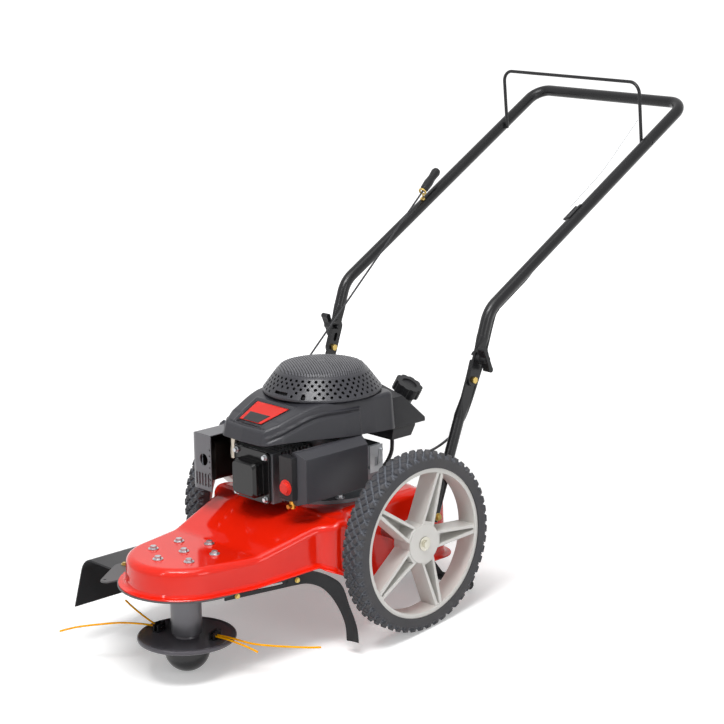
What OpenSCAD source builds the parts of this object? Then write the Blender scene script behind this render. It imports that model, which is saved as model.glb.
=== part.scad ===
// Wheeled string trimmer: a belt-driven cutting head under a pressed deck, a small vertical-shaft
// engine, two tall wheels and a folding handle. It is drawn with the deck level, the spindle on the
// Z axis and the foot of the ground ball at zero, and then pitched so that the ball and both wheels
// stand on the ground.

/* [Stance] */
// Radius of the wheels over the tread
wheel_r = 178; // [165:1:190]
// Radius of the ground ball under the head
ball_r = 44; // [42:1:48]
// Distance from the spindle to the axle, deck level
wheel_base = 384; // [374:1:400]
// Height of the axle over the foot of the ball, deck level
axle_h = 222; // [216:1:228]
// Distance from the middle to the centre plane of each wheel
half_track = 237; // [234:1:250]

/* [Wheels] */
// Width of the tyre
tyre_w = 50; // [44:1:54]
// Depth of the tyre from the tread to the rim seat
tyre_h = 29; // [26:1:34]
// Depth of the grooves between tread blocks
tread_depth = 5; // [3:0.5:6]
// Grooves of each slant round the tyre
tread_count = 40; // [32:1:48]
// Slant of the tread grooves
tread_slant = 42; // [35:1:50]
// Spokes of the rim
spoke_count = 5; // [4:1:6]
// Radius of the hub disc
hub_r = 39; // [34:1:44]
// Radius of the axle journal
axle_r = 6.35; // [5.5:0.05:8]

/* [Deck] */
// Radius of the round nose
nose_r = 113; // [106:1:118]
// Angle at which each flank spreads to the rear
flank_angle = 12; // [10:0.5:13]
// Height of the nose top
nose_top = 238; // [234:1:244]
// Height of the nose rim
nose_rim = 183; // [180:1:186]
// Height of the engine seat
seat_h = 284; // [280:1:290]
// Half width of the deck between the wheels
deck_half_w = 150; // [144:1:156]
// Rear end of the deck
deck_rear = 575; // [565:1:590]
// Thickness of the deck sheet
sheet_t = 2.5; // [2:0.1:3.2]
// Width of the rim flange
flange_w = 13; // [9:1:15]
// Bolt circle of the spindle housing
spindle_pcd = 124; // [118:1:128]

/* [Cutting head] */
// Radius of the cutting disc
disc_r = 95.5; // [88:0.5:102]
// Height of the cutting disc
disc_h = 70; // [68:1:74]
// Radius of the spindle tube
tube_r = 30; // [27:1:33]
// Radius of the spindle shaft
shaft_r = 10; // [9:0.5:12]
// Radius of the spindle pulley in its groove
spindle_pulley_r = 36; // [32:1:38]
// Radius of the engine pulley in its groove
engine_pulley_r = 33; // [30:1:38]
// Diameter of the trimmer line
line_d = 3.9; // [3:0.1:4.4]

/* [Engine] */
// Distance from the spindle to the crankshaft
crank_y = 360; // [356:1:364]
// Radius of the crankshaft
crank_r = 12.5; // [11:0.5:14]
// Radius of the starter dome at its foot
dome_r = 118; // [112:1:120]
// Height of the starter dome's foot over the engine seat
dome_foot = 206; // [204:1:208]
// Height of the dome over its foot
dome_rise = 55; // [48:1:60]
// Rows of holes in the dome
dome_rows = 5; // [3:1:5]
// Holes in each row of the dome
dome_holes = 44; // [30:1:48]

/* [Handle] */
// Radius of the handle tubes
grip_r = 12; // [11:0.5:12.5]
// Wall of the handle tubes
tube_wall = 1.8; // [1.4:0.1:2.2]
// Distance from the middle to each arm of the upper handle
arm_x = 208; // [207:0.5:209]
// Rear place of the pivot bolts
pivot_y = 573; // [568:1:580]
// Height of the pivot bolts
pivot_z = 504; // [498:1:510]
// Slope of the lower tubes over the level
lower_slope = 68.5; // [67:0.5:70]
// Slope of the upper legs over the level
leg_slope = 71; // [70:0.5:72]
// Slope of the arms over the level
arm_slope = 30.2; // [29:0.2:31]
// Distance from the pivot to the bend of the arm
leg_l = 141; // [138:1:150]
// Length of each arm from the bend to the crossbar
arm_l = 700; // [660:5:740]
// Bend radius at the crossbar
corner_r = 36; // [34:1:42]
// Distance from the crossbar to the bail's pivot along the arm
bail_back = 141; // [136:1:150]
// Radius of the bail rod
bail_r = 3.6; // [3:0.1:4.2]

/* [Fits] */
// Running clearance of shafts in their bores
running = 0.05; // [0.02:0.01:0.1]
// Gap between curved faces of pieces that move apart
gap = 0.4; // [0.3:0.05:0.6]

/* [Hidden] */
$fn = 64;

// Stance: the pitch that brings the wheels down to the level of the ball's foot
axle_over_ball = axle_h - ball_r;
pitch = atan2(axle_over_ball, wheel_base)
    - asin((wheel_r - ball_r) / norm([axle_over_ball, wheel_base]));

// Handle line
arm_dir = [cos(arm_slope), sin(arm_slope)];
arm_end = [pivot_y, pivot_z] + leg_l * [cos(leg_slope), sin(leg_slope)];
crossbar = arm_end + arm_l * arm_dir;
bail_pivot = crossbar - bail_back * arm_dir;
bail_l = bail_back - grip_r - bail_r + 0.3;
bail_rest = 95;

// Ground origin: the middle of the length between the pan's front and the crossbar's rear
pan_r = nose_r + flange_w + 2;
pan_t = 3;
pan_rear = 120;
front_y = -pan_r * cos(pitch) + (nose_rim - pan_t - ball_r) * sin(pitch);
rear_y = crossbar[0] * cos(pitch) + (crossbar[1] - ball_r) * sin(pitch) + grip_r;
middle_y = (front_y + rear_y) / 2;

// Wheel
rim_r = wheel_r - tyre_h;
rim_w = tyre_w - 6;
hub_in = half_track - rim_w / 2;
hub_out = half_track + rim_w / 2;
shoulder_r = 10;
groove_w = 5.6;
spoke_phase = 16.7;

// Deck profile: side line, rim heights and top heights along the length
nose_x = nose_r * tan((90 - flank_angle) / 2);
wing_y = 205;
wing_out = deck_half_w + 38;
deck_side = without_repeats(round_path(
    [[0, -nose_r], [nose_x, -nose_r], [flank_x(74), 74], [flank_x(120), 120], [flank_x(wing_y), wing_y],
        [wing_out, wing_y + 20], [wing_out, wing_y + 50], [deck_half_w, wing_y + 90], [deck_half_w, 492],
        [deck_half_w, deck_rear - 4], [0, deck_rear]],
    [0, nose_r, 0, 0, 24, 22, 22, 24, 0, 36, 0]));
rear_rim = 132;
deck_rim = [[-nose_r, nose_rim], [60, nose_rim], [wing_y - 8, nose_rim + 15], [wing_y + 22, nose_rim + 2],
    [wing_y + 55, nose_rim - 30], [wing_y + 90, rear_rim], [deck_rear, rear_rim]];
deck_top = [[-nose_r, nose_top], [74, nose_top], [232, seat_h], [492, seat_h], [deck_rear, seat_h - 34]];
deck_round = 15;

// Spindle
cage_top = nose_top - sheet_t;
cage_t = 7;
post_r = 7;
bearing_h = 12;
bearing_r = 21;
belt_h = 10;
belt_t = 6;
belt_z = nose_rim + 16;
pulley_h = 15;
nut_h = 6;

// Engine
base_t = 9;
block_top = seat_h + 121;
head_y = 178;
head_z = seat_h + 69;
dome_z = seat_h + dome_foot;
muffler_z = seat_h + 78;
guard_z = seat_h + 22;
guard_t = 1.8;
filter_z = seat_h + 34;
tank_z = seat_h + 94;
control_z = seat_h + 48;
flywheel_z = seat_h + 152;
flywheel_h = 26;
cover_bolt = 42;
shroud_rear = 462;
shroud_round = 9;
shroud_draft = 5;
panel_front = 156;
panel_rear = 356;
panel_t = 2.5;
panel_drop = 14;
badge_y = 165;
badge_l = 64;
badge_sink = 1.2;
shroud_side = round_path(
    [[0, 147], [60, 150], [80, 184], [93, 239], [100, 269], [112, 320], [116.5, panel_rear], [121, 392],
        [121, 448], [92, shroud_rear - 2], [0, shroud_rear]],
    [0, 16, 30, 0, 0, 90, 0, 60, 24, 16, 0]);
shroud_rim = [[147, seat_h + 140], [180, seat_h + 144], [250, seat_h + 141], [shroud_rear, seat_h + 128]];
shroud_top = [[147, seat_h + 167], [165, seat_h + 175], [238, dome_z - 6], [268, dome_z],
    [shroud_rear, dome_z - 2]];
shroud_t = 2.5;
cap_at = [54, 536, tank_z + 81];
cap_lean = 28;
crown_r = dome_r - 30;
dome_hole_r = 3;
slot_at = -88;
slot_half_a = 9;
arch_at = -61;
crown_z = dome_z + dome_rise - 13;
post_top_r = 10;
wall_lean = atan2(crown_z - dome_z - 6, dome_r - crown_r - 3);
reel_z = dome_z + 8;
rope_r = 2;
rope_out = [-94, 402, dome_z + 31];
rope_guide_at = [-187, 830, 806];
rope_route = [for (i = [0 : 14]) rope_out + (rope_guide_at - rope_out) * i / 14];

// Handle fittings
plate_t = 5;
lower_r = grip_r - 1;
lower_x = arm_x - 10;
lower_plate = [arm_x - plate_t - 3.3, arm_x - 3.3];
upper_plate = [arm_x - 3, arm_x - 3 + plate_t];
bolt_r = 4;
stud_s = 44;
flat_w = 26;
slot_half = bolt_r + 0.6;

// Routes of the cords, in the level frame
cable_r = 2.6;
cable_off = grip_r + cable_r + 0.3;
cable_upper_route = [for (i = [0 : 12])
    let (w = min(90, 12 * i), a = arm_end + (281 - 21.5 * i) * arm_dir, h = cable_off * sin(w))
    [arm_x - cable_off * cos(w), a[0] + h * arm_dir[1], a[1] - h * arm_dir[0]]];
cable_lower_route = [[208, 646, 635], [208, 637, 626], [208, 630, 610], [207.5, 624, 592], [207, 617, 570],
    [206, 610, 548], [204.5, 602, 525], [203, 592, 500], [201, 581, 472], [199.5, 570, 447], [197, 558, 424],
    [190, 546, 404], [178, 530, 384], [164, 512, 368], [148, 490, 356], [132, 466, 350], [122, 444, 350],
    [116, 424.5, 350]];
wire_route = [[186.4, 1095, 965], [187, 1040, 918], [190.5, 980, 872], [190, 920, 833], [190, 880, 808]];
hose_route = [[52, 500, 372], [52, 500, 356], [54, 496, 342], [58, 484, 330], [62, 470, 322], [66, 452, 318]];
line_z = disc_h + 9;
line_left_routes = [
    [[-55.7, -24.8, line_z], [-84, -40, line_z + 2], [-125, -64, line_z], [-168, -91, line_z - 8],
        [-200, -109, line_z - 16], [-220, -119, line_z - 23], [-237, -128, line_z - 30]],
    [[-58.4, -18.9, line_z], [-76, -22, line_z + 2], [-102, -25, line_z + 10], [-128, -28, line_z + 20],
        [-150, -31, line_z + 31]]];
line_right_routes = [
    [[55.7, 24.8, line_z], [84, 38, line_z - 2], [124, 57, line_z - 8], [160, 79, line_z - 9],
        [196, 103, line_z - 8], [218, 118, line_z - 7], [237, 131, line_z - 5]],
    [[58.4, 18.9, line_z], [84, 28, line_z - 2], [108, 38, line_z - 7], [128, 46, line_z - 12],
        [146, 53, line_z - 18]]];

// Points of an arc from angle a0 to a1
function arc(c, r, a0, a1, n) = [for (i = [0 : n])
    let (a = a0 + (a1 - a0) * i / n) c + r * [cos(a), sin(a)]];

// Smallest signed turn from one angle to another
function turn(a, b) = let (d = (b - a) % 360) d > 180 ? d - 360 : d < -180 ? d + 360 : d;

// One corner of an open path, rounded to radius r
function corner(a, b, c, r, n) =
    let (u = (a - b) / norm(a - b), v = (c - b) / norm(c - b), half = acos(u * v) / 2)
    let (m = b + (u + v) / norm(u + v) * r / sin(half), p = b + u * r / tan(half), q = b + v * r / tan(half))
    let (a0 = atan2(p[1] - m[1], p[0] - m[0]), a1 = atan2(q[1] - m[1], q[0] - m[0]))
    arc(m, r, a0, a0 + turn(a0, a1), n);

// Open path with its corners rounded
function round_path(p, r) = [for (i = [0 : len(p) - 1])
    each (r[i] == 0 ? [p[i]] : corner(p[i - 1], p[i], p[i + 1], r[i], r[i] > 60 ? 10 : 4))];

// Path without points that repeat the one before
function without_repeats(p) = [for (i = [0 : len(p) - 1]) if (i == 0 || norm(p[i] - p[i - 1]) > 0.05) p[i]];

// Outward normal of a step of a side line that runs from front to rear
function step_normal(a, b) = [b[1] - a[1], a[0] - b[0]] / norm(b - a);

// Mitred outward normal at point i of a side line that starts and ends on the middle plane
function side_normal(s, i) =
    i == 0 ? [0, -1] : i == len(s) - 1 ? [0, 1] :
    let (n1 = step_normal(s[i - 1], s[i]), n2 = step_normal(s[i], s[i + 1])) (n1 + n2) / (1 + n1 * n2);

// Closed ring: a side line moved in by d, at the heights of a table plus dz, with its mirror image
function ring(s, d, heights, dz) =
    let (p = [for (i = [0 : len(s) - 1]) let (q = s[i] - d * side_normal(s, i))
        [i == 0 || i == len(s) - 1 ? 0 : q[0], q[1], lookup(s[i][1], heights) + dz]])
    concat(p, [for (i = [len(s) - 2 : -1 : 1]) [-p[i][0], p[i][1], p[i][2]]]);

// Faces across a ring, joining each point with its mirror image
function cap_faces(first, m, flip) =
    let (n = m / 2 + 1, left = function(i) i == 0 || i == n - 1 ? i : m - i)
    [for (i = [0 : n - 2]) each [for (f = [[i, i + 1, left(i + 1)], [i, left(i + 1), left(i)]])
        if (f[0] != f[1] && f[1] != f[2] && f[0] != f[2])
            flip ? [first + f[2], first + f[1], first + f[0]] : [first + f[0], first + f[1], first + f[2]]]];

// Closed surface through a stack of rings, capped at both ends
module skin(rings) {
    m = len(rings[0]);
    k = len(rings);
    polyhedron(
        points = [for (r = rings) each r],
        faces = concat(
            cap_faces(0, m, true),
            [for (j = [0 : k - 2]) for (i = [0 : m - 1]) let (n = (i + 1) % m)
                each [[j * m + i, j * m + n, (j + 1) * m + n],
                    [j * m + i, (j + 1) * m + n, (j + 1) * m + i]]],
            cap_faces((k - 1) * m, m, false)));
}

// Pressed or moulded shell, open below, with a rounded top edge, a drafted wall and a rim flange
module shell(side, rim, top, round, wall, lip, draft) {
    arcs = [90, 60, 30, 0];
    outer = [for (a = arcs) ring(side, draft + round * (1 - cos(a)), top, -round * (1 - sin(a)))];
    edge = lip > 0
        ? [ring(side, 0, rim, wall), ring(side, -lip, rim, wall), ring(side, -lip, rim, 0)]
        : [ring(side, 0, rim, 0)];
    inner_round = round - wall;
    inner = [for (i = [3 : -1 : 0]) let (a = arcs[i])
        ring(side, draft + wall + inner_round * (1 - cos(a)), top, -wall - inner_round * (1 - sin(a)))];
    skin(concat(outer, edge, [ring(side, wall, rim, 0)], inner));
}

// Round cord along a route: one tube of n sides, with flat ends
module cord(route, r, n) {
    k = len(route);
    ring_at = function(i)
        let (t = route[min(i + 1, k - 1)] - route[max(i - 1, 0)], d = t / norm(t))
        let (u = cross(d, abs(d[2]) > 0.9 ? [1, 0, 0] : [0, 0, 1]), a = u / norm(u), b = cross(d, a))
        [for (j = [0 : n - 1]) route[i] + r * (cos(360 * j / n) * a + sin(360 * j / n) * b)];
    sweep([for (i = [0 : k - 1]) ring_at(i)]);
}

// Closed surface through a row of rings of n points each, with flat ends
module sweep(rings) {
    k = len(rings);
    n = len(rings[0]);
    polyhedron(
        points = [for (r = rings) each r],
        faces = concat(
            [for (j = [1 : n - 2]) [0, j, j + 1]],
            [for (i = [0 : k - 2]) for (j = [0 : n - 1]) let (m = (j + 1) % n)
                each [[i * n + j, (i + 1) * n + m, i * n + m],
                    [i * n + j, (i + 1) * n + j, (i + 1) * n + m]]],
            [for (j = [1 : n - 2]) [(k - 1) * n, (k - 1) * n + j + 1, (k - 1) * n + j]]));
}

// Stance of the whole machine on the ground
module standing() {
    translate([0, -middle_y, ball_r]) rotate([-pitch, 0, 0]) translate([0, 0, -ball_r]) children();
}

// A piece and its mirror image on the other side
module both_sides() {
    children();
    mirror([1, 0, 0]) children();
}

// Drawing plane of the handle: extrusions run along X and the drawing is seen from +X
module from_side(x0, x1) {
    translate([x0, 0, 0]) rotate([90, 0, 90]) linear_extrude(x1 - x0) children();
}

// Strip between two points of the side view, with square ends
module strip_2d(a, b, w) {
    d = (b - a) / norm(b - a);
    n = w / 2 * [-d[1], d[0]];
    polygon([a + n, a - n, b - n, b + n]);
}

// Bar between two points of the side view, with round ends
module bar_2d(a, b, w) {
    strip_2d(a, b, w);
    translate(a) circle(w / 2);
    translate(b) circle(w / 2);
}

// Hex bolt head on a washer, seated at zero
module hex_head(r, h, washer_r) {
    cylinder(r = washer_r, h = 1.6);
    translate([0, 0, 1.6]) cylinder(r = r, h = h, $fn = 6);
}

module deck_shell() {
    color("#e23222") difference() {
        shell(deck_side, deck_rim, deck_top, deck_round, sheet_t, flange_w, 3);
        for (p = spindle_bolt_points()) translate([p[0], p[1], cage_top - 1])
            cylinder(r = bolt_r + 0.3, h = 12);
        translate([0, crank_y, seat_h - 20]) cylinder(r = crank_r + 22, h = 40);
        for (p = base_bolt_points()) translate([p[0], p[1], seat_h - 20])
            cylinder(r = bolt_r + 0.3, h = 40);
        translate([-deck_half_w - 60, wheel_base, axle_h]) rotate([0, 90, 0])
            cylinder(r = axle_shoulder_r() + running, h = 2 * deck_half_w + 120);
    }
}

function flank_x(y) = nose_r / cos(flank_angle) + y * tan(flank_angle);
function spindle_bolt_points() = concat([[0, 0]],
    [for (i = [0 : 5]) spindle_pcd / 2 * [cos(30 + 60 * i), sin(30 + 60 * i)]]);
function base_bolt_points() = [for (a = [25, 155, 205, 335]) [0, crank_y] + 104 * [cos(a), sin(a)]];
function axle_shoulder_r() = axle_r + 4;

module deck_pan() {
    color("#3b3d40") translate([0, 0, nose_rim - pan_t]) difference() {
        linear_extrude(pan_t) {
            circle(pan_r);
            translate([-pan_r, 0]) square([2 * pan_r, pan_rear]);
            hull() {
                translate([-104, -106]) circle(12);
                translate([-150, -40]) circle(12);
                translate([-150, 60]) circle(12);
                translate([-60, 60]) circle(12);
            }
        }
        translate([0, 0, -1]) cylinder(r = tube_r + gap, h = pan_t + 2);
        translate([-108, -108, -1]) cylinder(r = 3.2, h = pan_t + 2);
    }
}

module spindle_housing() {
    plate_r = spindle_pcd / 2 + post_r + 4;
    color("#4a4c4f") difference() {
        union() {
            translate([0, 0, cage_top - cage_t]) cylinder(r = plate_r, h = cage_t);
            translate([0, 0, nose_rim]) cylinder(r = plate_r, h = cage_t);
            for (i = [0 : 5]) rotate(30 + 60 * i) translate([spindle_pcd / 2, 0, nose_rim + cage_t])
                cylinder(r = post_r, h = cage_top - nose_rim - 2 * cage_t);
            translate([0, 0, disc_h + 8]) cylinder(r = tube_r, h = nose_rim - disc_h - 8);
        }
        translate([0, 0, disc_h]) cylinder(r = shaft_r + 4, h = cage_top - cage_t - disc_h);
        translate([0, 0, disc_h]) cylinder(r = bearing_r, h = 8 + bearing_h);
        translate([0, 0, nose_rim + cage_t - bearing_h]) cylinder(r = bearing_r, h = bearing_h + 1);
        for (p = spindle_bolt_points()) translate([p[0], p[1], cage_top - 30]) cylinder(r = bolt_r, h = 40);
    }
}

module spindle_bearings() {
    color("#b9bcc0") for (z = [disc_h + 8, nose_rim + cage_t - bearing_h]) translate([0, 0, z]) difference() {
        cylinder(r = bearing_r, h = bearing_h);
        translate([0, 0, -1]) cylinder(r = shaft_r + running, h = bearing_h + 2);
    }
}

module spindle_bolts() {
    color("#d9dadc") for (p = spindle_bolt_points()) translate([p[0], p[1], nose_top + 0.2]) {
        hex_head(6.4, 5, 10);
        translate([0, 0, -9]) cylinder(r = bolt_r, h = 10);
    }
}

module left_deflector() {
    wall = 3;
    out_x = half_track + 12;
    bend = 24;
    low = 85;
    high = nose_rim - pan_t;
    color("#232426") intersection() {
        translate([0, 200, 0]) rotate([90, 0, 0]) linear_extrude(300) {
            translate([-out_x + bend, high - wall]) square([out_x - bend - 118, wall]);
            translate([-out_x, low]) square([wall, high - bend - low]);
            translate([-out_x + bend, high - bend]) intersection() {
                difference() {
                    circle(bend);
                    circle(bend - wall);
                }
                translate([-bend, 0]) square([bend, bend]);
            }
        }
        from_side(-out_x - 5, 0) polygon([[-82, low], [-54, high + 5], [190, high + 5], [190, low]]);
    }
}

module right_shield() {
    wall = 3;
    low = 52;
    pan_low = nose_rim - pan_t - 0.4;
    color("#1d1e20") intersection() {
        translate([0, 0, low]) linear_extrude(nose_rim + 30 - low) difference() {
            shield_2d(0);
            shield_2d(wall);
        }
        from_side(100, half_track) polygon([[0, low], [0, pan_low], [pan_rear + 4, pan_low],
            [pan_rear + 5, nose_rim + 4], [wing_y - 20, nose_rim + 8], [wing_y - 5, nose_rim + 1],
            [wing_y + 20, nose_rim - 14], [wing_y + 50, nose_rim - 34], [wing_y + 50, low]]);
        translate([0, 300, 0]) rotate([90, 0, 0]) linear_extrude(300) polygon([
            [100, nose_rim - 14], [150, nose_rim - 13], [170, 153], [185, 128], [197, 102], [204, 78],
            [204, low], [234, low + 3], [234, 88], [220, 110], [208, 118], [206, 220], [100, 220]]);
    }
}

// Plan of the right shield: along the flank, then swept out in front of the wheel
module shield_2d(inset) {
    polygon(concat([[100, 0], [shield_x(0) - inset, 0], [shield_x(150) - inset, 150]],
        arc([shield_x(150) + 80, 150], 80 + inset, 180, 98, 8),
        [[half_track, 229.2 + inset], [half_track, 270], [100, 270]]));
}
function shield_x(y) = flank_x(y) + 4;

module shield_screws() {
    color("#c9b56a") {
        for (y = [24, 150]) translate([shield_x(y) + 0.3, y, nose_rim - 9.6 + y / 20])
            rotate([0, 90, -flank_angle]) hex_head(4.2, 3, 5.2);
        for (y = [-30, 40]) translate([-pan_r - 21, y, nose_rim + 0.2]) hex_head(4.5, 3, 7);
    }
}

module axle() {
    shoulder = hub_in - 2;
    color("#b4b6ba") translate([0, wheel_base, axle_h]) rotate([0, 90, 0]) {
        translate([0, 0, -shoulder]) cylinder(r = axle_shoulder_r(), h = 2 * shoulder);
        translate([0, 0, -hub_out - 1]) cylinder(r = axle_r, h = 2 * hub_out + 2);
    }
}

module hub_bolts() {
    color("#d8cfa8") both_sides() translate([hub_out + 1, wheel_base, axle_h]) rotate([0, 90, 0]) {
        cylinder(r = 14, h = 1.6);
        translate([0, 0, 1.6]) cylinder(r = 8, h = 5.5, $fn = 6);
    }
}

module tyre() {
    color("#2a2b2d") rotate([0, 90, 0]) difference() {
        rotate_extrude() translate([rim_r, -tyre_w / 2]) offset_box(tyre_h, tyre_w, shoulder_r);
        for (i = [0 : tread_count - 1]) rotate(360 / tread_count * i)
            for (slant = [-tread_slant, tread_slant]) translate([wheel_r - tread_depth, 0, 0])
                rotate([slant, 0, 0]) translate([0, -groove_w / 2, -tyre_w]) cube([20, groove_w, 2 * tyre_w]);
    }
}

// Box in the half plane with its two outer corners rounded
module offset_box(w, h, r) {
    square([w - r, h]);
    translate([w - r, r]) square([r, h - 2 * r]);
    for (y = [r, h - r]) translate([w - r, y]) circle(r);
}

module rim() {
    bed_r = rim_r - 5;
    color("#c9c9c6") rotate([0, 90, 0]) difference() {
        union() {
            rotate_extrude() translate([bed_r - 4, -rim_w / 2]) square([rim_r - 0.2 - bed_r + 4, rim_w]);
            translate([0, 0, -rim_w / 2]) cylinder(r = hub_r, h = rim_w);
            each_spoke() translate([0, 0, -rim_w / 2 + 1.5]) linear_extrude(rim_w - 3)
                polygon([[hub_r - 8, -17], [bed_r - 1, -9], [bed_r - 1, 9], [hub_r - 8, 17]]);
        }
        each_spoke() translate([0, 0, -rim_w / 2 + 8]) linear_extrude(rim_w)
            polygon([[hub_r + 4, -11], [bed_r - 6, -2], [bed_r - 6, 2], [hub_r + 4, 11]]);
        translate([0, 0, -rim_w / 2 - 1]) cylinder(r = axle_r + running, h = rim_w + 2);
    }
}

// A piece repeated at each spoke of the rim
module each_spoke() {
    for (i = [0 : spoke_count - 1]) rotate(360 / spoke_count * i + spoke_phase) children();
}

module on_axle(side) {
    translate([side * half_track, wheel_base, axle_h]) mirror([side < 0 ? 1 : 0, 0, 0]) children();
}

module left_tyre() { on_axle(-1) tyre(); }
module left_rim() { on_axle(-1) rim(); }
module right_tyre() { on_axle(1) tyre(); }
module right_rim() { on_axle(1) rim(); }

// Point of the handle line at distance s from the pivot: the lower tube below it, the leg above it
function leg_at(s) = let (a = s < 0 ? lower_slope : leg_slope) [pivot_y, pivot_z] + s * [cos(a), sin(a)];

// Straight length of tube between two points of the side view, at place x
module tube_between(x, a, b, r) {
    d = b - a;
    translate([x, a[0], a[1]]) rotate([atan2(d[1], d[0]) - 90, 0, 0]) cylinder(r = r, h = norm(d));
}

// Round end of the flattened length of a tube, which closes over the tube at point a
module flat_root(x, a, slope, r) {
    translate([x, a[0], a[1]]) rotate([slope - 90, 0, 0]) translate([0, 0, -2])
        cylinder(r = r + 0.4, h = 4, $fn = 32);
}

module lower_handle() {
    a = leg_at(-290);
    b = leg_at(-76);
    color("#1b1c1e") difference() {
        union() {
            tube_between(lower_x, a, b, lower_r);
            hull() {
                flat_root(lower_x, b, lower_slope, lower_r);
                from_side(lower_plate[0], lower_plate[1]) strip_2d(leg_at(-42), leg_at(-41), flat_w);
            }
            from_side(lower_plate[0], lower_plate[1]) {
                strip_2d(leg_at(-41.5), leg_at(0), flat_w);
                bar_2d(leg_at(0), leg_at(stud_s + 2), flat_w);
            }
        }
        from_side(lower_plate[0] - 9, lower_plate[1] + 9) {
            translate(leg_at(0)) circle(bolt_r + running);
            bar_2d(leg_at(17), leg_at(27), 8);
            translate(leg_at(0)) notch_2d();
        }
        tube_between(lower_x, leg_at(-292), leg_at(-90), lower_r - tube_wall);
        translate([lower_x - 20, leg_at(-279)[0], leg_at(-279)[1]]) rotate([0, 90, 0])
            cylinder(r = bolt_r + running, h = 40);
    }
}

// Way of the knob's stud out of the lower plate when the handle folds forward
module notch_2d() {
    r0 = stud_s - slot_half;
    r1 = stud_s + slot_half;
    translate(stud_s * [cos(leg_slope), sin(leg_slope)]) circle(slot_half);
    polygon(concat(arc([0, 0], r0, leg_slope, leg_slope + 35, 8),
        arc([0, 0], r1, leg_slope + 35, leg_slope, 8)));
}

module lower_handle_right() { lower_handle(); }
module lower_handle_left() { mirror([1, 0, 0]) lower_handle(); }

module handle_brackets() {
    inner = deck_half_w - 1;
    outer = lower_x - lower_r - 0.3;
    color("#1b1c1e") both_sides() difference() {
        union() {
            from_side(outer - 4, outer) bar_2d(leg_at(-279), leg_at(-230), 34);
            from_side(inner, outer - 4) bar_2d(leg_at(-279) - [0, 10], leg_at(-240), 12);
        }
        translate([inner - 10, leg_at(-279)[0], leg_at(-279)[1]]) rotate([0, 90, 0])
            cylinder(r = bolt_r + running, h = 100);
    }
}

module handle_bolts() {
    mount = leg_at(-279);
    color("#cdb768") both_sides() {
        translate([lower_x + lower_r + 0.2, mount[0], mount[1]]) rotate([0, 90, 0]) {
            hex_head(6, 4.5, 8);
            translate([0, 0, -2 * lower_r - 8]) cylinder(r = bolt_r, h = 2 * lower_r + 9);
        }
        translate([upper_plate[1] + gap, pivot_y, pivot_z]) rotate([0, 90, 0]) {
            cylinder(r = 7, h = 5, $fn = 6);
            translate([0, 0, -17]) cylinder(r = bolt_r, h = 18);
        }
        translate([lower_plate[0] - 6.2, pivot_y, pivot_z]) rotate([0, 90, 0]) difference() {
            cylinder(r = 7, h = 6, $fn = 6);
            translate([0, 0, -1]) cylinder(r = bolt_r, h = 8);
        }
    }
}

module upper_handle() {
    top_leg = leg_at(stud_s + 44);
    arm_stop = crossbar - corner_r * arm_dir;
    color("#1b1c1e") difference() {
        union() {
            both_sides() {
                from_side(upper_plate[0], upper_plate[1]) {
                    translate(leg_at(0)) circle(flat_w / 2);
                    strip_2d(leg_at(0), leg_at(stud_s + 19), flat_w);
                }
                hull() {
                    from_side(upper_plate[0], upper_plate[1])
                        strip_2d(leg_at(stud_s + 18), leg_at(stud_s + 19), flat_w);
                    flat_root(arm_x, top_leg, leg_slope, grip_r);
                }
            }
            translate([0, arm_stop[0], arm_stop[1]]) rotate([arm_slope, 0, 0]) {
                both_sides() {
                    translate([arm_x, 0, 0]) bent_arm();
                    translate([arm_x - corner_r, 0, 0]) rotate_extrude(angle = 90)
                        translate([corner_r, 0]) circle(grip_r);
                }
                translate([-arm_x + corner_r, corner_r, 0]) rotate([0, 90, 0])
                    cylinder(r = grip_r, h = 2 * (arm_x - corner_r));
            }
        }
        both_sides() {
            for (s = [0, stud_s]) translate([arm_x - 20, leg_at(s)[0], leg_at(s)[1]]) rotate([0, 90, 0])
                cylinder(r = bolt_r + running, h = 40);
            translate([arm_x - 30, bail_pivot[0], bail_pivot[1]]) rotate([0, 90, 0])
                cylinder(r = bail_r + running, h = 60);
        }
    }
}

// Arm tube from the crossbar's corner down to the bend, and the leg below it
module bent_arm() {
    lean = leg_slope - arm_slope;
    bend_r = 60;
    cut = bend_r * tan(lean / 2);
    run = arm_l - corner_r - cut;
    rotate([90, 0, 0]) cylinder(r = grip_r, h = run);
    translate([0, -run, -bend_r]) rotate([90, 0, 90]) rotate(90) {
        rotate_extrude(angle = lean) translate([bend_r, 0]) circle(grip_r);
        rotate(lean) translate([bend_r, 0, 0]) rotate([-90, 0, 0])
            cylinder(r = grip_r, h = leg_l - cut - stud_s - 44);
    }
}

module knob() {
    stud = leg_at(stud_s);
    x0 = upper_plate[1] + 0.2;
    color("#26272a") translate([x0, stud[0], stud[1]]) rotate([0, 90, 0]) {
        translate([0, 0, -plate_t - 8]) cylinder(r = bolt_r, h = plate_t + 9);
        cylinder(r = 11, h = 10);
        cylinder(r = 8, h = 24);
        rotate(20) translate([0, 0, 9]) for (s = [-1, 1]) linear_extrude(18) {
            polygon([[0, -4], [0, 4], [s * 22, 5], [s * 22, -5]]);
            translate([s * 22, 0]) circle(5.5);
        }
    }
}
module right_knob() { knob(); }
module left_knob() { mirror([1, 0, 0]) knob(); }

// Rod between two points
module rod(a, b, r) {
    d = b - a;
    translate(a) rotate([0, acos(d[2] / norm(d)), atan2(d[1], d[0])]) cylinder(r = r, h = norm(d));
}

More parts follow.
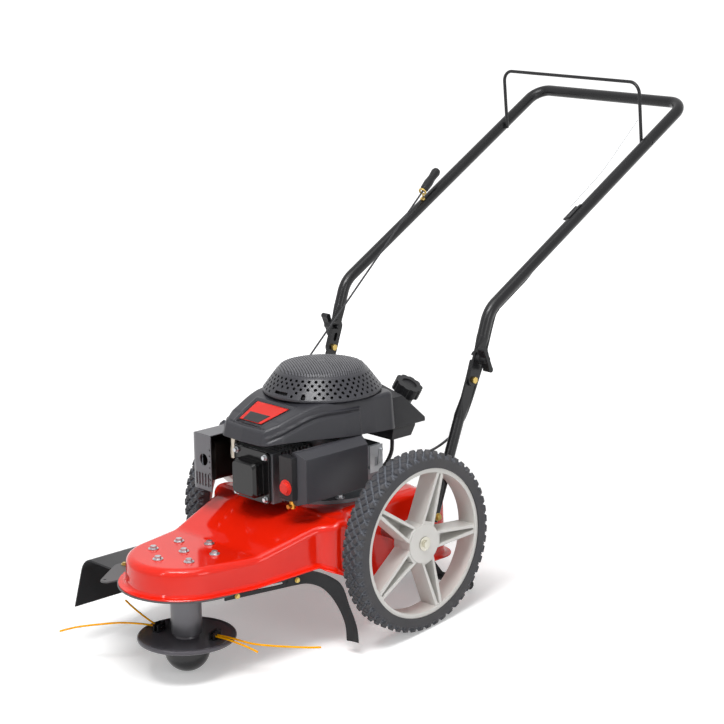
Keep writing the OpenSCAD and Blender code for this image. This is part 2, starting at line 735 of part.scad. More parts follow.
module bail() {
    side = arm_x - grip_r - bail_r - 1;
    bend = 24;
    color("#2b2c2e") translate([0, bail_pivot[0], bail_pivot[1]]) rotate([bail_rest - 90, 0, 0]) {
        both_sides() {
            rod([side, 0, 0], [side, 0, bail_l - bend], bail_r);
            rod([side - 2, 0, 0], [arm_x + grip_r - 1, 0, 0], bail_r);
            translate([side, 0, 0]) sphere(bail_r);
            translate([side - bend, 0, bail_l - bend]) rotate([90, 0, 0]) rotate_extrude(angle = 90)
                translate([bend, 0]) circle(bail_r);
        }
        rod([-side + bend, 0, bail_l], [side - bend, 0, bail_l], bail_r);
    }
}

module bail_wire() { color("#c8cacc") cord(wire_route, 0.8, 8); }
module cable_upper() { color("#1a1b1d") cord(cable_upper_route, cable_r, 8); }
module cable_lower() { color("#1a1b1d") cord(cable_lower_route, cable_r, 8); }
module fuel_hose() { color("#232323") cord(hose_route, 4, 10); }
module starter_rope() { color("#1c1c1c") cord(rope_route, rope_r, 8); }

module cable_clip() {
    at = arm_end + 305 * arm_dir;
    color("#1b1c1e") translate([arm_x, at[0], at[1]]) rotate([arm_slope, 0, 0]) translate([0, -22, 0]) {
        rotate([-90, 0, 0]) difference() {
            cylinder(r = grip_r + 2.4, h = 44);
            translate([0, 0, -1]) cylinder(r = grip_r + 0.1, h = 46);
            translate([0, -20, -1]) cube([30, 40, 46]);
        }
        translate([-grip_r - 8, 0, -7]) cube([7, 44, 3]);
        translate([-grip_r - 8, 0, 4]) cube([7, 44, 3]);
    }
}

module rope_guide() {
    ring_r = 7;
    wire = 2.2;
    color("#b9a25a") {
        translate(rope_guide_at) rotate([arm_slope + 3, 0, 12]) rotate([90, 0, 0]) rotate_extrude()
            translate([ring_r, 0]) circle(wire);
        rod(rope_guide_at + [-1, 3, -ring_r], [-arm_x + 4, 848, guide_foot(848) + 1], wire);
    }
    color("#2a2a2a") translate([-arm_x + 4, 848, guide_foot(848) + 0.3]) rotate([arm_slope, 0, 0])
        cylinder(r = 5, h = 4);
}
function guide_foot(y) = arm_end[1] + (y - arm_end[0]) * tan(arm_slope) + grip_r / cos(arm_slope);

module starter_grip() {
    d = (rope_guide_at - rope_out) / norm(rope_guide_at - rope_out);
    color("#1f2022") translate(rope_guide_at + 5 * d) rotate([0, acos(d[2]), atan2(d[1], d[0])])
        rotate_extrude() polygon([[0, 0], [6, 0], [9, 4], [10, 22], [8.5, 40], [10, 58], [8, 64], [0, 65]]);
}

module engine_block() {
    color("#6d7073") difference() {
        union() {
            translate([0, crank_y, seat_h + 0.2]) {
                cylinder(r = 117, h = base_t);
                cylinder(r = 78, h = block_top - seat_h - 0.2);
                translate([-80, -70, base_t]) cube([160, 150, 84]);
            }
            translate([-40, head_y + 24, head_z - 40]) cube([80, 100, 80]);
            for (i = [0 : 7]) translate([-56, head_y + 28 + 9 * i, head_z - 50]) cube([112, 4, 100]);
            translate([-56, head_y, head_z - 50]) cube([112, 22, 100]);
            translate([-30, head_y + 20, head_z - 30]) cube([60, 10, 60]);
        }
        translate([0, crank_y, seat_h - 5]) cylinder(r = crank_r + running, h = 160);
        for (p = base_bolt_points()) translate([p[0], p[1], seat_h - 5]) cylinder(r = bolt_r + 0.1, h = 40);
        for (p = cover_bolt_points()) translate([p[0], head_y - 1, p[1]]) rotate([-90, 0, 0])
            cylinder(r = 3.05, h = 16);
    }
}
function cover_bolt_points() = [for (x = [-1, 1], z = [-1, 1]) [x * cover_bolt, head_z + z * cover_bolt]];

module engine_bolts() {
    color("#d3d5d7") {
        for (p = base_bolt_points()) translate([p[0], p[1], seat_h + base_t + 0.4]) {
            hex_head(6.4, 5, 10);
            translate([0, 0, -base_t - 8]) cylinder(r = bolt_r, h = base_t + 9);
        }
        for (p = cover_bolt_points()) translate([p[0], head_y - 6.2, p[1]]) rotate([90, 0, 0]) {
            hex_head(4.6, 5, 6);
            translate([0, 0, -16]) cylinder(r = 3, h = 17);
        }
    }
}

module valve_cover() {
    color("#17181a") difference() {
        union() {
            translate([0, head_y - 0.2, head_z]) rotate([90, 0, 0]) hull()
                for (p = cover_bolt_points()) translate([p[0], p[1] - head_z, 0])
                    cylinder(r = 9, h = 5.8, $fn = 32);
            translate([0, head_y - 5, head_z - 4]) rotate([90, 0, 0]) hull() {
                for (x = [-26, 26], z = [-27, 27]) translate([x, z, 0]) cylinder(r = 8, h = 18, $fn = 24);
                for (x = [-22, 22], z = [-23, 23]) translate([x, z, 0]) cylinder(r = 8, h = 24, $fn = 24);
            }
        }
        for (p = cover_bolt_points()) translate([p[0], head_y + 1, p[1]]) rotate([90, 0, 0])
            cylinder(r = 3.1, h = 40);
    }
}

module muffler() {
    color("#5a554f") {
        translate([-118, 272, muffler_z]) rotate([90, 0, 0]) linear_extrude(108)
            offset(12) square([16, 60], true);
        translate([-104, 250, muffler_z]) rotate([0, 90, 0]) cylinder(r = 13, h = 23.8);
    }
}

module muffler_guard() {
    color("#1e1f21") difference() {
        guard_box(0, 140, 292, guard_z, guard_z + 114);
        translate([guard_t, 0, 0])
            guard_box(guard_t, 140 + guard_t, 300, guard_z - 6, guard_z + 114 - guard_t);
        translate([-106, 150, guard_z + 62]) rotate([90, 0, 0]) cylinder(r = 12, h = 30);
        for (i = [0 : 4]) translate([-131 + 9 * i, 130, guard_z + 8]) cube([4, 20, 26]);
        for (i = [0 : 6]) translate([-88, 150, guard_z + 12 + 12 * i]) rotate([90, 0, 0])
            cylinder(r = 2, h = 30);
        for (i = [0 : 5]) translate([-160, 168 + 20 * i, guard_z + 24]) cube([20, 7, 70]);
    }
}

// Guard body: a box, rounded at the front and over its outer top edge, open towards the block
module guard_box(inset, y0, y1, z0, z1) {
    r = 22 - inset;
    intersection() {
        translate([0, 0, z0]) linear_extrude(z1 - z0) {
            translate([-150 + inset, y0 + 22]) square([66 - inset, y1 - y0 - 22]);
            translate([-128, y0]) square([44, 24]);
            translate([-128, y0 + 22]) circle(r);
        }
        translate([0, y1 + 10, 0]) rotate([90, 0, 0]) linear_extrude(y1 - y0 + 20) {
            translate([-151, z0 - 1]) square([80, z1 - r - z0 + 1]);
            translate([-128, z0 - 1]) square([57, z1 - z0 + 2]);
            translate([-128, z1 - r]) circle(r);
        }
    }
}

module spark_plug() {
    color("#a9987c") {
        translate([-66, 186, head_z + 19]) cylinder(r = 9.5, h = 46);
        translate([-66, 186, head_z + 31]) rotate([0, 90, 0]) cylinder(r = 6, h = 9.8);
    }
}

module blower_shroud() {
    color("#3a3c3f") difference() {
        union() {
            shell(shroud_side, shroud_rim, shroud_top, shroud_round, shroud_t, 0, shroud_draft);
            both_sides() side_panel();
        }
        translate([0, crank_y, dome_z - 40]) cylinder(r = dome_r - 18, h = 80);
        badge_recess();
    }
}

// Raised panel along the shroud's side, below its rounded edge
module side_panel() {
    at = function(p, n, d, z) [p[0] - d * n[0], p[1] - d * n[1], z];
    ring_at = function(i)
        let (p = shroud_side[i], n = side_normal(shroud_side, i))
        let (top = lookup(p[1], shroud_top), rim = lookup(p[1], shroud_rim), high = top - panel_drop)
        let (low = rim + 3, lean = shroud_draft / (top - shroud_round - rim))
        let (d1 = lean * (high - rim), d0 = lean * 3, in = shroud_t / 2)
        [at(p, n, d1 - panel_t, high), at(p, n, d0 - panel_t, low),
            at(p, n, d0 + in, low), at(p, n, d1 + in, high)];
    sweep([for (i = [1 : len(shroud_side) - 2])
        if (shroud_side[i][1] >= panel_front && shroud_side[i][1] <= panel_rear) ring_at(i)]);
}

// Flat recess for the badge on the front slope of the shroud
module badge_recess() {
    z = lookup(badge_y, shroud_top);
    slope = atan2(lookup(badge_y + badge_l, shroud_top) - z, badge_l);
    translate([0, badge_y, z]) rotate([slope, 0, 0]) translate([0, 0, -badge_sink]) linear_extrude(12)
        polygon([[-35, 2], [35, 2], [50, badge_l], [-50, badge_l]]);
}

module recoil_dome() {
    wall = 2.4;
    color("#313336") difference() {
        translate([0, crank_y, dome_z + 0.3]) rotate_extrude() {
            difference() {
                dome_2d(0);
                dome_2d(wall);
            }
            translate([0, reel_z - dome_z - 3]) square([post_top_r, dome_rise - 6]);
        }
        for (k = [0 : dome_rows - 1], i = [0 : dome_holes - 1])
            let (t = (k + 0.75) / (dome_rows + 0.4), a = 360 / dome_holes * (i + k / 2))
            if (k > 1 || (clear_of(a, slot_at, slot_half_a + 4) && clear_of(a, arch_at, 8)))
                translate([0, crank_y, dome_z + 4 + (crown_z - dome_z - 6) * t]) rotate(a)
                    translate([dome_r - (dome_r - crown_r - 3) * t, 0, 0]) rotate([0, wall_lean, 0])
                        translate([0, 0, -8]) cylinder(r = dome_hole_r, h = 16, $fn = 16);
        translate([0, crank_y, dome_z + 9]) rotate(slot_at - slot_half_a)
            rotate_extrude(angle = 2 * slot_half_a) translate([dome_r - 15, 0]) square([20, 5]);
        translate([0, crank_y, dome_z + 10]) rotate(arch_at) translate([dome_r - 15, 0, 0]) {
            rotate([0, 90, 0]) cylinder(r = 4.5, h = 20);
            translate([0, -4.5, -5]) cube([20, 9, 5]);
        }
        rod(rope_out - [-9, 9, 6], rope_out + [-6, 8, 5], rope_r + 2);
    }
}

// Whether two directions lie at least d degrees apart
function clear_of(a, b, d) = abs(turn(a, b)) > d;

// Half section of the dome: foot, sloping wall and low crown
module dome_2d(inset) {
    crown_h = crown_z - dome_z;
    polygon(concat(
        [[0, inset > 0 ? -1 : 0], [dome_r - inset, inset > 0 ? -1 : 0], [dome_r - inset, 4],
            [crown_r + 3 - inset, crown_h - 2 - inset / 2]],
        [for (i = [0 : 6]) let (a = 15 * i)
            [(crown_r - 1 - inset) * cos(a), crown_h + 1 - inset + (dome_rise - crown_h - 1) * sin(a)]]));
}

module air_cleaner_base() {
    color("#202123") difference() {
        union() {
            translate([100.2, 184, filter_z]) cube([6, 162, 94]);
            translate([88, 167, filter_z + 8]) cube([36, 12.4, 84]);
            translate([88, 167, filter_z + 8]) cube([18, 17.5, 84]);
        }
        translate([106, 160, filter_z + 32]) rotate([-90, 0, 0]) cylinder(r = 15.5 + gap, h = 17);
    }
}

module air_cleaner_cover() {
    color("#35373a") difference() {
        hull() {
            translate([106.4, 184, filter_z - 4]) cube([4, 164, 102]);
            translate([118, 180, filter_z - 4]) cube([4, 172, 104]);
            translate([138, 188, filter_z + 2]) cube([4, 160, 86]);
        }
        hull() {
            translate([106, 187, filter_z - 1]) cube([4, 158, 96]);
            translate([118, 183, filter_z - 1]) cube([4, 166, 98]);
            translate([135, 190, filter_z + 4]) cube([4, 156, 82]);
        }
    }
}

module carburettor() {
    color("#8d9094") {
        translate([80.2, 300, filter_z + 27]) cube([19.8, 40, 44]);
        translate([90, 320, filter_z + 12]) cylinder(r = 9.5, h = 15);
    }
}

module brass_fittings() {
    color("#c98a3a") {
        translate([100, 188, filter_z - 15]) cylinder(r = 6, h = 14.8);
        translate([100, 188, filter_z - 10]) rotate([90, 0, 0]) cylinder(r = 4.5, h = 12);
    }
}

module fuel_tank() {
    y0 = shroud_rear + 0.4;
    color("#2e3033") difference() {
        union() {
            hull() {
                translate([-86, y0 + 4, tank_z]) cube([172, 54, 20]);
                translate([-90, y0 + 4, tank_z + 20]) cube([180, 62, 6]);
            }
            hull() {
                translate([-96, y0, tank_z + 26]) cube([192, 88, 8]);
                translate([-92, y0, tank_z + 74]) cube([184, 30, 14]);
                translate([-92, y0, tank_z + 96]) cube([120, 30, 6]);
            }
            translate(cap_at) rotate([-8, cap_lean, 0]) translate([0, 0, -30]) cylinder(r = 21, h = 28);
        }
        translate(cap_at) rotate([-8, cap_lean, 0]) translate([0, 0, -34]) cylinder(r = 17, h = 40);
    }
}

module fuel_cap() {
    color("#232427") translate(cap_at) rotate([-8, cap_lean, 0]) {
        difference() {
            cylinder(r = 29, h = 22);
            for (i = [0 : 9]) rotate(36 * i) translate([33, 0, -1]) cylinder(r = 6.5, h = 24);
            translate([0, 0, 19]) cylinder(r = 16, h = 4);
        }
        translate([0, 0, -12]) cylinder(r = 16.6, h = 13);
    }
}

module primer_bulb() {
    color("#d42a1e") translate([106, 166.4, filter_z + 32]) rotate([-90, 0, 0]) {
        cylinder(r = 15.5, h = 5);
        translate([0, 0, -6]) cylinder(r = 11, h = 7);
    }
}

module control_bracket() {
    color("#c3cbd2") difference() {
        union() {
            translate([108, 384, control_z]) cube([2, 34, 54]);
            translate([80.2, 384, control_z + 8]) cube([28, 12, 2]);
        }
        translate([100, 396, control_z + 12]) cube([20, 8, 18]);
        translate([100, 412, control_z + 44]) rotate([0, 90, 0]) cylinder(r = 2.5 + running, h = 20);
    }
}

module brake_lever() {
    color("#b4b6ba") {
        from_side(110.4, 112.4) difference() {
            bar_2d([412, control_z + 44], [408, control_z + 18], 9);
            translate([408, control_z + 18]) circle(1.6);
        }
        translate([107, 412, control_z + 44]) rotate([0, 90, 0]) cylinder(r = 2.5, h = 8);
    }
}

module drive_belt() {
    color("#161616") translate([0, 0, belt_z - belt_h / 2]) linear_extrude(belt_h) difference() {
        belt_2d(gap + belt_t);
        belt_2d(gap);
    }
}

// Outline round both pulleys, d over their groove radius
module belt_2d(d) {
    r0 = spindle_pulley_r + d;
    r1 = engine_pulley_r + d;
    lean = asin((r0 - r1) / crank_y);
    circle(r0);
    translate([0, crank_y]) circle(r1);
    polygon([r0 * [cos(lean), sin(lean)], [0, crank_y] + r1 * [cos(lean), sin(lean)],
        [0, crank_y] + r1 * [-cos(lean), sin(lean)], r0 * [-cos(lean), sin(lean)]]);
}

// Grooved pulley about its own axis
module pulley(r, bore) {
    color("#8b8e92") translate([0, 0, -pulley_h / 2]) difference() {
        cylinder(r = r + 5, h = pulley_h);
        translate([0, 0, pulley_h / 2 - belt_h / 2 - gap]) difference() {
            cylinder(r = r + 9, h = belt_h + 2 * gap);
            translate([0, 0, -1]) cylinder(r = r, h = belt_h + 4);
        }
        translate([0, 0, -1]) cylinder(r = bore, h = pulley_h + 2);
    }
}

module engine_pulley() { translate([0, crank_y, belt_z]) pulley(engine_pulley_r, crank_r); }
module spindle_pulley() { translate([0, 0, belt_z]) pulley(spindle_pulley_r, shaft_r); }

module crankshaft() {
    color("#b6b8bb") translate([0, crank_y, belt_z - 14])
        cylinder(r = crank_r, h = flywheel_z + flywheel_h - belt_z + 14);
}

module flywheel() {
    color("#84878b") translate([0, crank_y, flywheel_z]) difference() {
        union() {
            cylinder(r = 92, h = 12);
            cylinder(r = 26, h = flywheel_h);
            for (i = [0 : 11]) rotate(30 * i) translate([40, -1.5, 11]) cube([50, 3, 20]);
        }
        translate([0, 0, -1]) cylinder(r = crank_r, h = 28);
    }
}

module recoil_pulley() {
    color("#55585c") translate([0, crank_y, reel_z]) difference() {
        cylinder(r = 62, h = 14);
        translate([0, 0, 3]) difference() {
            cylinder(r = 66, h = 8);
            translate([0, 0, -1]) cylinder(r = 50, h = 10);
        }
        translate([0, 0, -1]) cylinder(r = post_top_r + running, h = 16);
        for (i = [0 : 5]) rotate(60 * i) translate([31, 0, -1]) cylinder(r = 9, h = 16);
    }
}

module spindle_shaft() {
    color("#b6b8bb") translate([0, 0, disc_h - 20])
        cylinder(r = shaft_r, h = cage_top - cage_t - 3 - disc_h + 20);
}

module cutting_disc() {
    color("#2f3032") translate([0, 0, disc_h]) difference() {
        rotate_extrude() polygon(concat([[0, -6], [60, -6]], arc([disc_r - 5, -1], 5, -70, 70, 6),
            [[disc_r - 10, 2], [shaft_r + 14, 0], [shaft_r + 12, 5], [0, 5]]));
        translate([0, 0, -8]) cylinder(r = shaft_r, h = 20);
    }
}

module ground_ball() {
    color("#141516") difference() {
        translate([0, 0, ball_r]) sphere(ball_r);
        translate([-100, -100, disc_h - 6.2]) cube([200, 200, 100]);
        translate([0, 0, disc_h - 21]) cylinder(r = shaft_r + 0.2, h = 40);
    }
}

module line_anchors() {
    color("#3a3b3d") for (a = [204, 24]) rotate(a) translate([60, 0, disc_h + 1.7]) difference() {
        union() {
            translate([-6, -14, 0]) cube([3, 28, 15]);
            translate([3, -14, 0]) cube([3, 28, 15]);
            translate([-6, -14, 0]) cube([12, 28, 2]);
        }
        for (y = [-7.3, 0.3]) translate([-10, y, line_z - disc_h - 1.7]) rotate([0, 90, 0])
            cylinder(r = line_d / 2 + 1.2, h = 20);
    }
}

module line_left() { color("#f0a51e") for (r = line_left_routes) cord(r, line_d / 2, 8); }
module line_right() { color("#f0a51e") for (r = line_right_routes) cord(r, line_d / 2, 8); }

module trailing_flap() {
    hinge = [514, 138];
    foot = [560, 80];
    half = deck_half_w - 8;
    color("#1a1b1c") {
        from_side(-half, half) bar_2d(hinge, foot, 4);
        from_side(-half - 4, half + 4) translate(hinge) circle(4);
        from_side(-half_track + 24, half_track - 24) translate(foot) circle(9);
    }
}

standing() deck_shell();
standing() deck_pan();
standing() spindle_housing();
standing() spindle_bearings();
standing() spindle_bolts();
standing() left_deflector();
standing() right_shield();
standing() shield_screws();
standing() axle();
standing() hub_bolts();
standing() lower_handle_left();
standing() lower_handle_right();
standing() handle_brackets();
standing() handle_bolts();
standing() engine_block();
standing() engine_bolts();
standing() valve_cover();
standing() muffler();
standing() muffler_guard();
standing() spark_plug();
standing() blower_shroud();
standing() recoil_dome();
standing() air_cleaner_base();
standing() air_cleaner_cover();
standing() carburettor();
standing() brass_fittings();
standing() fuel_tank();
standing() fuel_hose();
standing() control_bracket();
standing() drive_belt();
standing() cable_lower();
standing() starter_rope();
standing() brake_lever();
standing() crankshaft();
standing() flywheel();
standing() engine_pulley();
standing() recoil_pulley();
standing() spindle_shaft();
standing() spindle_pulley();
standing() cutting_disc();
standing() ground_ball();
standing() line_anchors();
standing() line_left();
standing() line_right();
standing() left_tyre();
standing() left_rim();
standing() right_tyre();
standing() right_rim();
standing() upper_handle();
standing() rope_guide();
standing() cable_clip();
standing() cable_upper();
standing() bail();
standing() bail_wire();
standing() left_knob();
standing() right_knob();
standing() starter_grip();
standing() trailing_flap();
standing() fuel_cap();
standing() primer_bulb();
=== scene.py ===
import math

import bmesh
import bpy
import numpy as np
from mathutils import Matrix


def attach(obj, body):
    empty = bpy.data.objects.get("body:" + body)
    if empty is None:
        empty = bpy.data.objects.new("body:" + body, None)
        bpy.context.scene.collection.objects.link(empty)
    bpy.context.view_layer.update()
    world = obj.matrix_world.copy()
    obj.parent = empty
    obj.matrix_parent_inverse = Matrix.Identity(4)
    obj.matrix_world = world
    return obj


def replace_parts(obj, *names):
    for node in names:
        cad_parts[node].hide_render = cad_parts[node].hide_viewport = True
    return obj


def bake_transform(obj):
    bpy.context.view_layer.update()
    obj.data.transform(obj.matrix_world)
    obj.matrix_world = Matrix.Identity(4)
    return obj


bl_info = {
    "name": "Wheeled string trimmer",
    "version": (1, 0, 0),
    "blender": (4, 5, 0),
    "location": "View3D > Sidebar > Trimmer",
    "description": "Dresses the packed string trimmer: deck and shroud skins, cords, finishes and a studio",
    "category": "Add Mesh",
}

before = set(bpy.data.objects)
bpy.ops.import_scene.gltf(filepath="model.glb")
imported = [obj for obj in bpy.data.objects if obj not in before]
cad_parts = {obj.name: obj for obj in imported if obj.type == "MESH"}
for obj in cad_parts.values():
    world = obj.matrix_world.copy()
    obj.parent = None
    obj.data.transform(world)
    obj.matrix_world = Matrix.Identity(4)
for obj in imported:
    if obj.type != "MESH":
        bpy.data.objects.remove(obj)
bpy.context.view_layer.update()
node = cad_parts

# The machine is drawn with its deck level, the spindle on Z and the ball's foot at zero, in millimetres, and
# then pitched onto its wheels. These are the stance sizes of the part's source.
BALL_R = 44.0
WHEEL_R = 178.0
WHEEL_BASE = 384.0
AXLE_H = 222.0
HALF_TRACK = 237.0
PITCH = math.atan2(AXLE_H - BALL_R, WHEEL_BASE) - math.asin(
    (WHEEL_R - BALL_R) / math.hypot(AXLE_H - BALL_R, WHEEL_BASE))
# Distance along Y from the ball's centre to the part's origin
MIDDLE_Y = 610.90966
# Place of the crank along Y
CRANK_Y = 360.0

# Right side of the handle: the leg rises from its pivot to a bend, and the arm goes on from there
ARM_X = 208.0
TUBE_R = 12.0
PIVOT = (573.0, 504.0)
LEG_L = 141.0
LEG_SLOPE = math.radians(71)
ARM_SLOPE = math.radians(30.2)

# Cord routes of the part's source. The rope's span is in shares of the way from the dome's port to the guide,
# and its stub's in millimetres past the guide.
ROPE_OUT = (-94.0, 402.0, 521.0)
ROPE_GUIDE = (-187.0, 830.0, 806.0)
ROPE_SPAN = (-0.03, 1.008)
STUB_SPAN = (2.0, 8.0)
# The upper cable goes down the arm in steps from the clip, and turns below it by some degrees a step
CLIP_S = 281.0
CABLE_STEP = 21.5
CABLE_STEPS = 13
CABLE_TURN = 12.0
CABLE_GAP = 0.3
CABLE_LOWER = [
    (208, 646, 635), (208, 637, 626), (208, 630, 610), (207.5, 624, 592), (207, 617, 570), (206, 610, 548),
    (204.5, 602, 525), (203, 592, 500), (201, 581, 472), (199.5, 570, 447), (197, 558, 424), (190, 546, 404),
    (178, 530, 384), (164, 512, 368), (148, 490, 356), (132, 466, 350), (122, 444, 350), (116, 424.5, 350)]
BAIL_WIRE = [(186.4, 1095, 965), (187, 1040, 918), (190.5, 980, 872), (190, 920, 833), (190, 880, 808)]
FUEL_HOSE = [(52, 500, 372), (52, 500, 356), (54, 496, 342), (58, 484, 330), (62, 470, 322), (66, 452, 318)]
# Two strands of line to each node: x, y and the height over the anchors' holes, which lie at LINE_H
LINE_H = 79.0
STRANDS = {
    "line_left": {
        "long": [(-55.7, -24.8, 0), (-84, -40, 2), (-125, -64, 0), (-168, -91, -8), (-200, -109, -16),
                 (-220, -119, -23), (-237, -128, -30)],
        "short": [(-58.4, -18.9, 0), (-76, -22, 2), (-102, -25, 10), (-128, -28, 20), (-150, -31, 31)]},
    "line_right": {
        "long": [(55.7, 24.8, 0), (84, 38, -2), (124, 57, -8), (160, 79, -9), (196, 103, -8), (218, 118, -7),
                 (237, 131, -5)],
        "short": [(58.4, 18.9, 0), (84, 28, -2), (108, 38, -7), (128, 46, -12), (146, 53, -18)]}}

# Deck: the wings' start along Y and their reach past the box behind, the box's rim, and the engine platform
WING_Y = 205.0
WING_OUT = 38.0
BOX_RIM = 132.0
PLATFORM_R = 178.0
PLATFORM_H = 2.0
PLATFORM_SLOPE = 5.0

# Right shield: its thickness, its distance off the flank, and its plan, which goes along the flank, round an
# arc and straight out before the wheel. The run's place is x past the flank and y. Edges: height over length.
SHIELD_T = 3.0
SHIELD_OFF = 4.0
SHIELD_ARC_R = 80.0
SHIELD_ARC_Y = 150.0
SHIELD_ARC_START = 153.4
SHIELD_ARC_END = 267.8
SHIELD_RUN = (72.9, 229.2)
SHIELD_UPPER = [
    (0, 179.2), (60, 179.2), (123, 179.2), (134, 189.9), (153, 192.3), (175, 194.4), (195, 190), (212, 183.5),
    (225, 177), (238, 169), (247, 157), (253, 142), (258, 127), (264, 113), (270, 101), (276, 88), (280, 72),
    (281.5, 54)]
SHIELD_LOWER = [
    (0, 169), (60, 169.5), (123, 170), (134, 170.2), (152, 170), (172, 168.5), (188, 164.5), (202, 158),
    (212, 150), (221, 140), (229, 128.5), (235.5, 117), (240.5, 107), (245, 96), (248.5, 85), (250.5, 74),
    (251.2, 62), (251.4, 52)]
# Lip over the pan: its ends along Y, the pan's rear end, its foot before and behind that, and the gap above
LIP_SPAN = (64.0, 131.0)
PAN_END = 121.0
LIP_FOOT = (183.1, 178.5)
LIP_GAP = 0.6

# Shroud: its ends along Y, and the rear end of its raised side panels
SHROUD_FRONT = 147.0
SHROUD_REAR = 462.0
PANEL_REAR = 356.0
# Recess on the front slope: where its width is taken along Y, its flare to the rear, its ends and its depth
BADGE_FRONT = 166.0
BADGE_FLARE = 17 / 70
RECESS_SPAN = (163.0, 238.0)
RECESS_DEPTH = 2.4

# Crown of the dome: half width, rise, height over the engine seat, ribs, boss and thickness
CROWN_R = 87.0
CROWN_RISE = 12.0
CROWN_UP = 249.5
RIB_PITCH = 5.0
RIB_H = 2.0
RIB_TURN = math.radians(59.4)
BOSS_R = 9.0
BOSS_H = 1.6
CROWN_T = 0.6

# Tyre section, and tread: the width that changes a groove's phase by one, and half a groove's top and floor
TYRE_HALF_W = 25.0
TYRE_H = 29.0
TYRE_SHOULDER = 10.0
TREAD_PITCH = 21.0
GROOVE_TOP = 2.9
GROOVE_FLOOR = 1.5

# Studio, in metres: the floor's half width, and where its lift starts and stops growing
FLOOR_HALF = 9
LIFT_SPAN = (0.7, 1.7)
# Lamps: name, place, aim, share of the set power, width and height
LAMPS = (
    ("overhead", (0.5, -0.7, 3.1), (0, -0.1, 0.3), 0.45, 2.2, 2.2),
    ("overhead_box", (0.66, -1.33, 3.0), (0, -0.73, 0.24), 0.5, 1.3, 0.6),
    ("front_strip", (0.2, -3.0, 2.3), (0, -0.3, 0.3), 0.12, 0.12, 1.6),
    ("right_side", (3.2, -0.5, 1.4), (0, 0, 0.3), 0.2, 1.2, 1.2))

# Camera: place in metres, and its azimuth, elevation and roll in degrees
CAMERA_AT = (2.98491, -2.75723, 1.77407)
CAMERA_TURN = (48.232, 18.07, -5.772)
SENSOR_MM = 36.0


def millimetres(name, description, default):
    """A size that shows in millimetres in the panel."""
    return bpy.props.FloatProperty(name=name, description=description, default=default, unit="CAMERA")


def hex_colour(name, description, default):
    """A colour of the panel, as sRGB hex."""
    return bpy.props.StringProperty(name=name, description=description, default=default)


def share_of_one(name, description, default):
    """A strength between 0 and 1."""
    return bpy.props.FloatProperty(name=name, description=description, default=default, min=0, max=1,
                                   subtype="FACTOR")


class TrimmerSizes(bpy.types.PropertyGroup):
    """Sizes of the pieces that are made here, in the part's own millimetres."""
    nose_r: millimetres("Nose radius", "Radius of the deck's round nose", 113)
    flank_angle: bpy.props.FloatProperty(
        name="Flank angle", description="Spread of each flank", default=math.radians(12), subtype="ANGLE")
    nose_top: millimetres("Nose top", "Height of the nose top", 238)
    nose_rim: millimetres("Nose rim", "Height of the nose rim", 183)
    seat_h: millimetres("Engine seat", "Height of the engine seat", 284)
    deck_half_w: millimetres("Deck half width", "Half width between the wheels", 150)
    deck_rear: millimetres("Deck rear", "Rear end of the deck", 575)
    sheet_t: millimetres("Sheet", "Thickness of the deck sheet", 2.5)
    flange_w: millimetres("Flange", "Width of the rim flange", 13)
    rope_r: millimetres("Starter rope radius", "Radius of the braided rope", 2)
    cable_r: millimetres("Brake cable radius", "Radius of the cable sheath", 2.6)
    wire_r: millimetres("Bail wire radius", "Radius of the bail wire", 0.8)
    hose_r: millimetres("Fuel hose radius", "Radius of the fuel hose", 4)
    line_r: millimetres("Trimmer line radius", "Radius of the nylon line", 1.95)
    tread_depth: millimetres("Tread depth", "Depth of the tread grooves", 4.4)
    tread_grooves: bpy.props.IntProperty(
        name="Tread grooves", description="Grooves of each slant round a tyre", default=52)


class TrimmerColours(bpy.types.PropertyGroup):
    """Colours of the finishes, as sRGB hex."""
    deck: hex_colour("Deck", "Powder coat of the deck", "#df2009")
    shroud: hex_colour("Shroud", "Moulded shroud", "#303035")
    dome: hex_colour("Dome", "Moulded dome and air box", "#39393e")
    handle: hex_colour("Handle", "Powder coat of the tubes", "#121214")
    rim: hex_colour("Rims", "Moulded rims", "#d8d6d2")
    tyre: hex_colour("Tyres", "Tyre rubber", "#3b3b3f")
    line: hex_colour("Line", "Trimmer line", "#ffae00")


class TrimmerStage(bpy.types.PropertyGroup):
    """Light, floor and lens."""
    key_power: bpy.props.FloatProperty(
        name="Light", description="Power that each lamp takes its share of", default=92, unit="POWER")
    fill: share_of_one("Fill", "Strength of the even light from all round", 0.3)
    floor_lift: share_of_one("Floor lift", "Light that the floor adds under the part", 0.3)
    far_lift: share_of_one("Far floor lift", "Light that the floor adds away from the part", 0.85)
    lens: millimetres("Lens", "Focal length", 104.245)


def standing(points):
    """Level frame in millimetres to the ground frame in metres, turned by the pitch at the ball's centre."""
    p = np.asarray(points, float)
    y, z = p[..., 1], p[..., 2] - BALL_R
    c, s = math.cos(PITCH), math.sin(PITCH)
    return np.stack([p[..., 0], y * c + z * s - MIDDLE_Y, BALL_R - y * s + z * c], -1) / 1000


def linear(code):
    """sRGB hex colour as linear RGBA."""
    v = np.array([int(code[i:i + 2], 16) for i in (1, 3, 5)]) / 255
    return (*np.where(v <= 0.04045, v / 12.92, ((v + 0.055) / 1.055) ** 2.4), 1.0)


def add(tree, kind, inputs=None, links=None, **settings):
    """Adds one node: its settings, its fixed inputs and the sockets that feed its other inputs."""
    made = tree.nodes.new(kind)
    for key, value in settings.items():
        setattr(made, key, value)
    for key, value in (inputs or {}).items():
        made.inputs[key].default_value = value
    for key, source in (links or {}).items():
        tree.links.new(source, made.inputs[key])
    return made


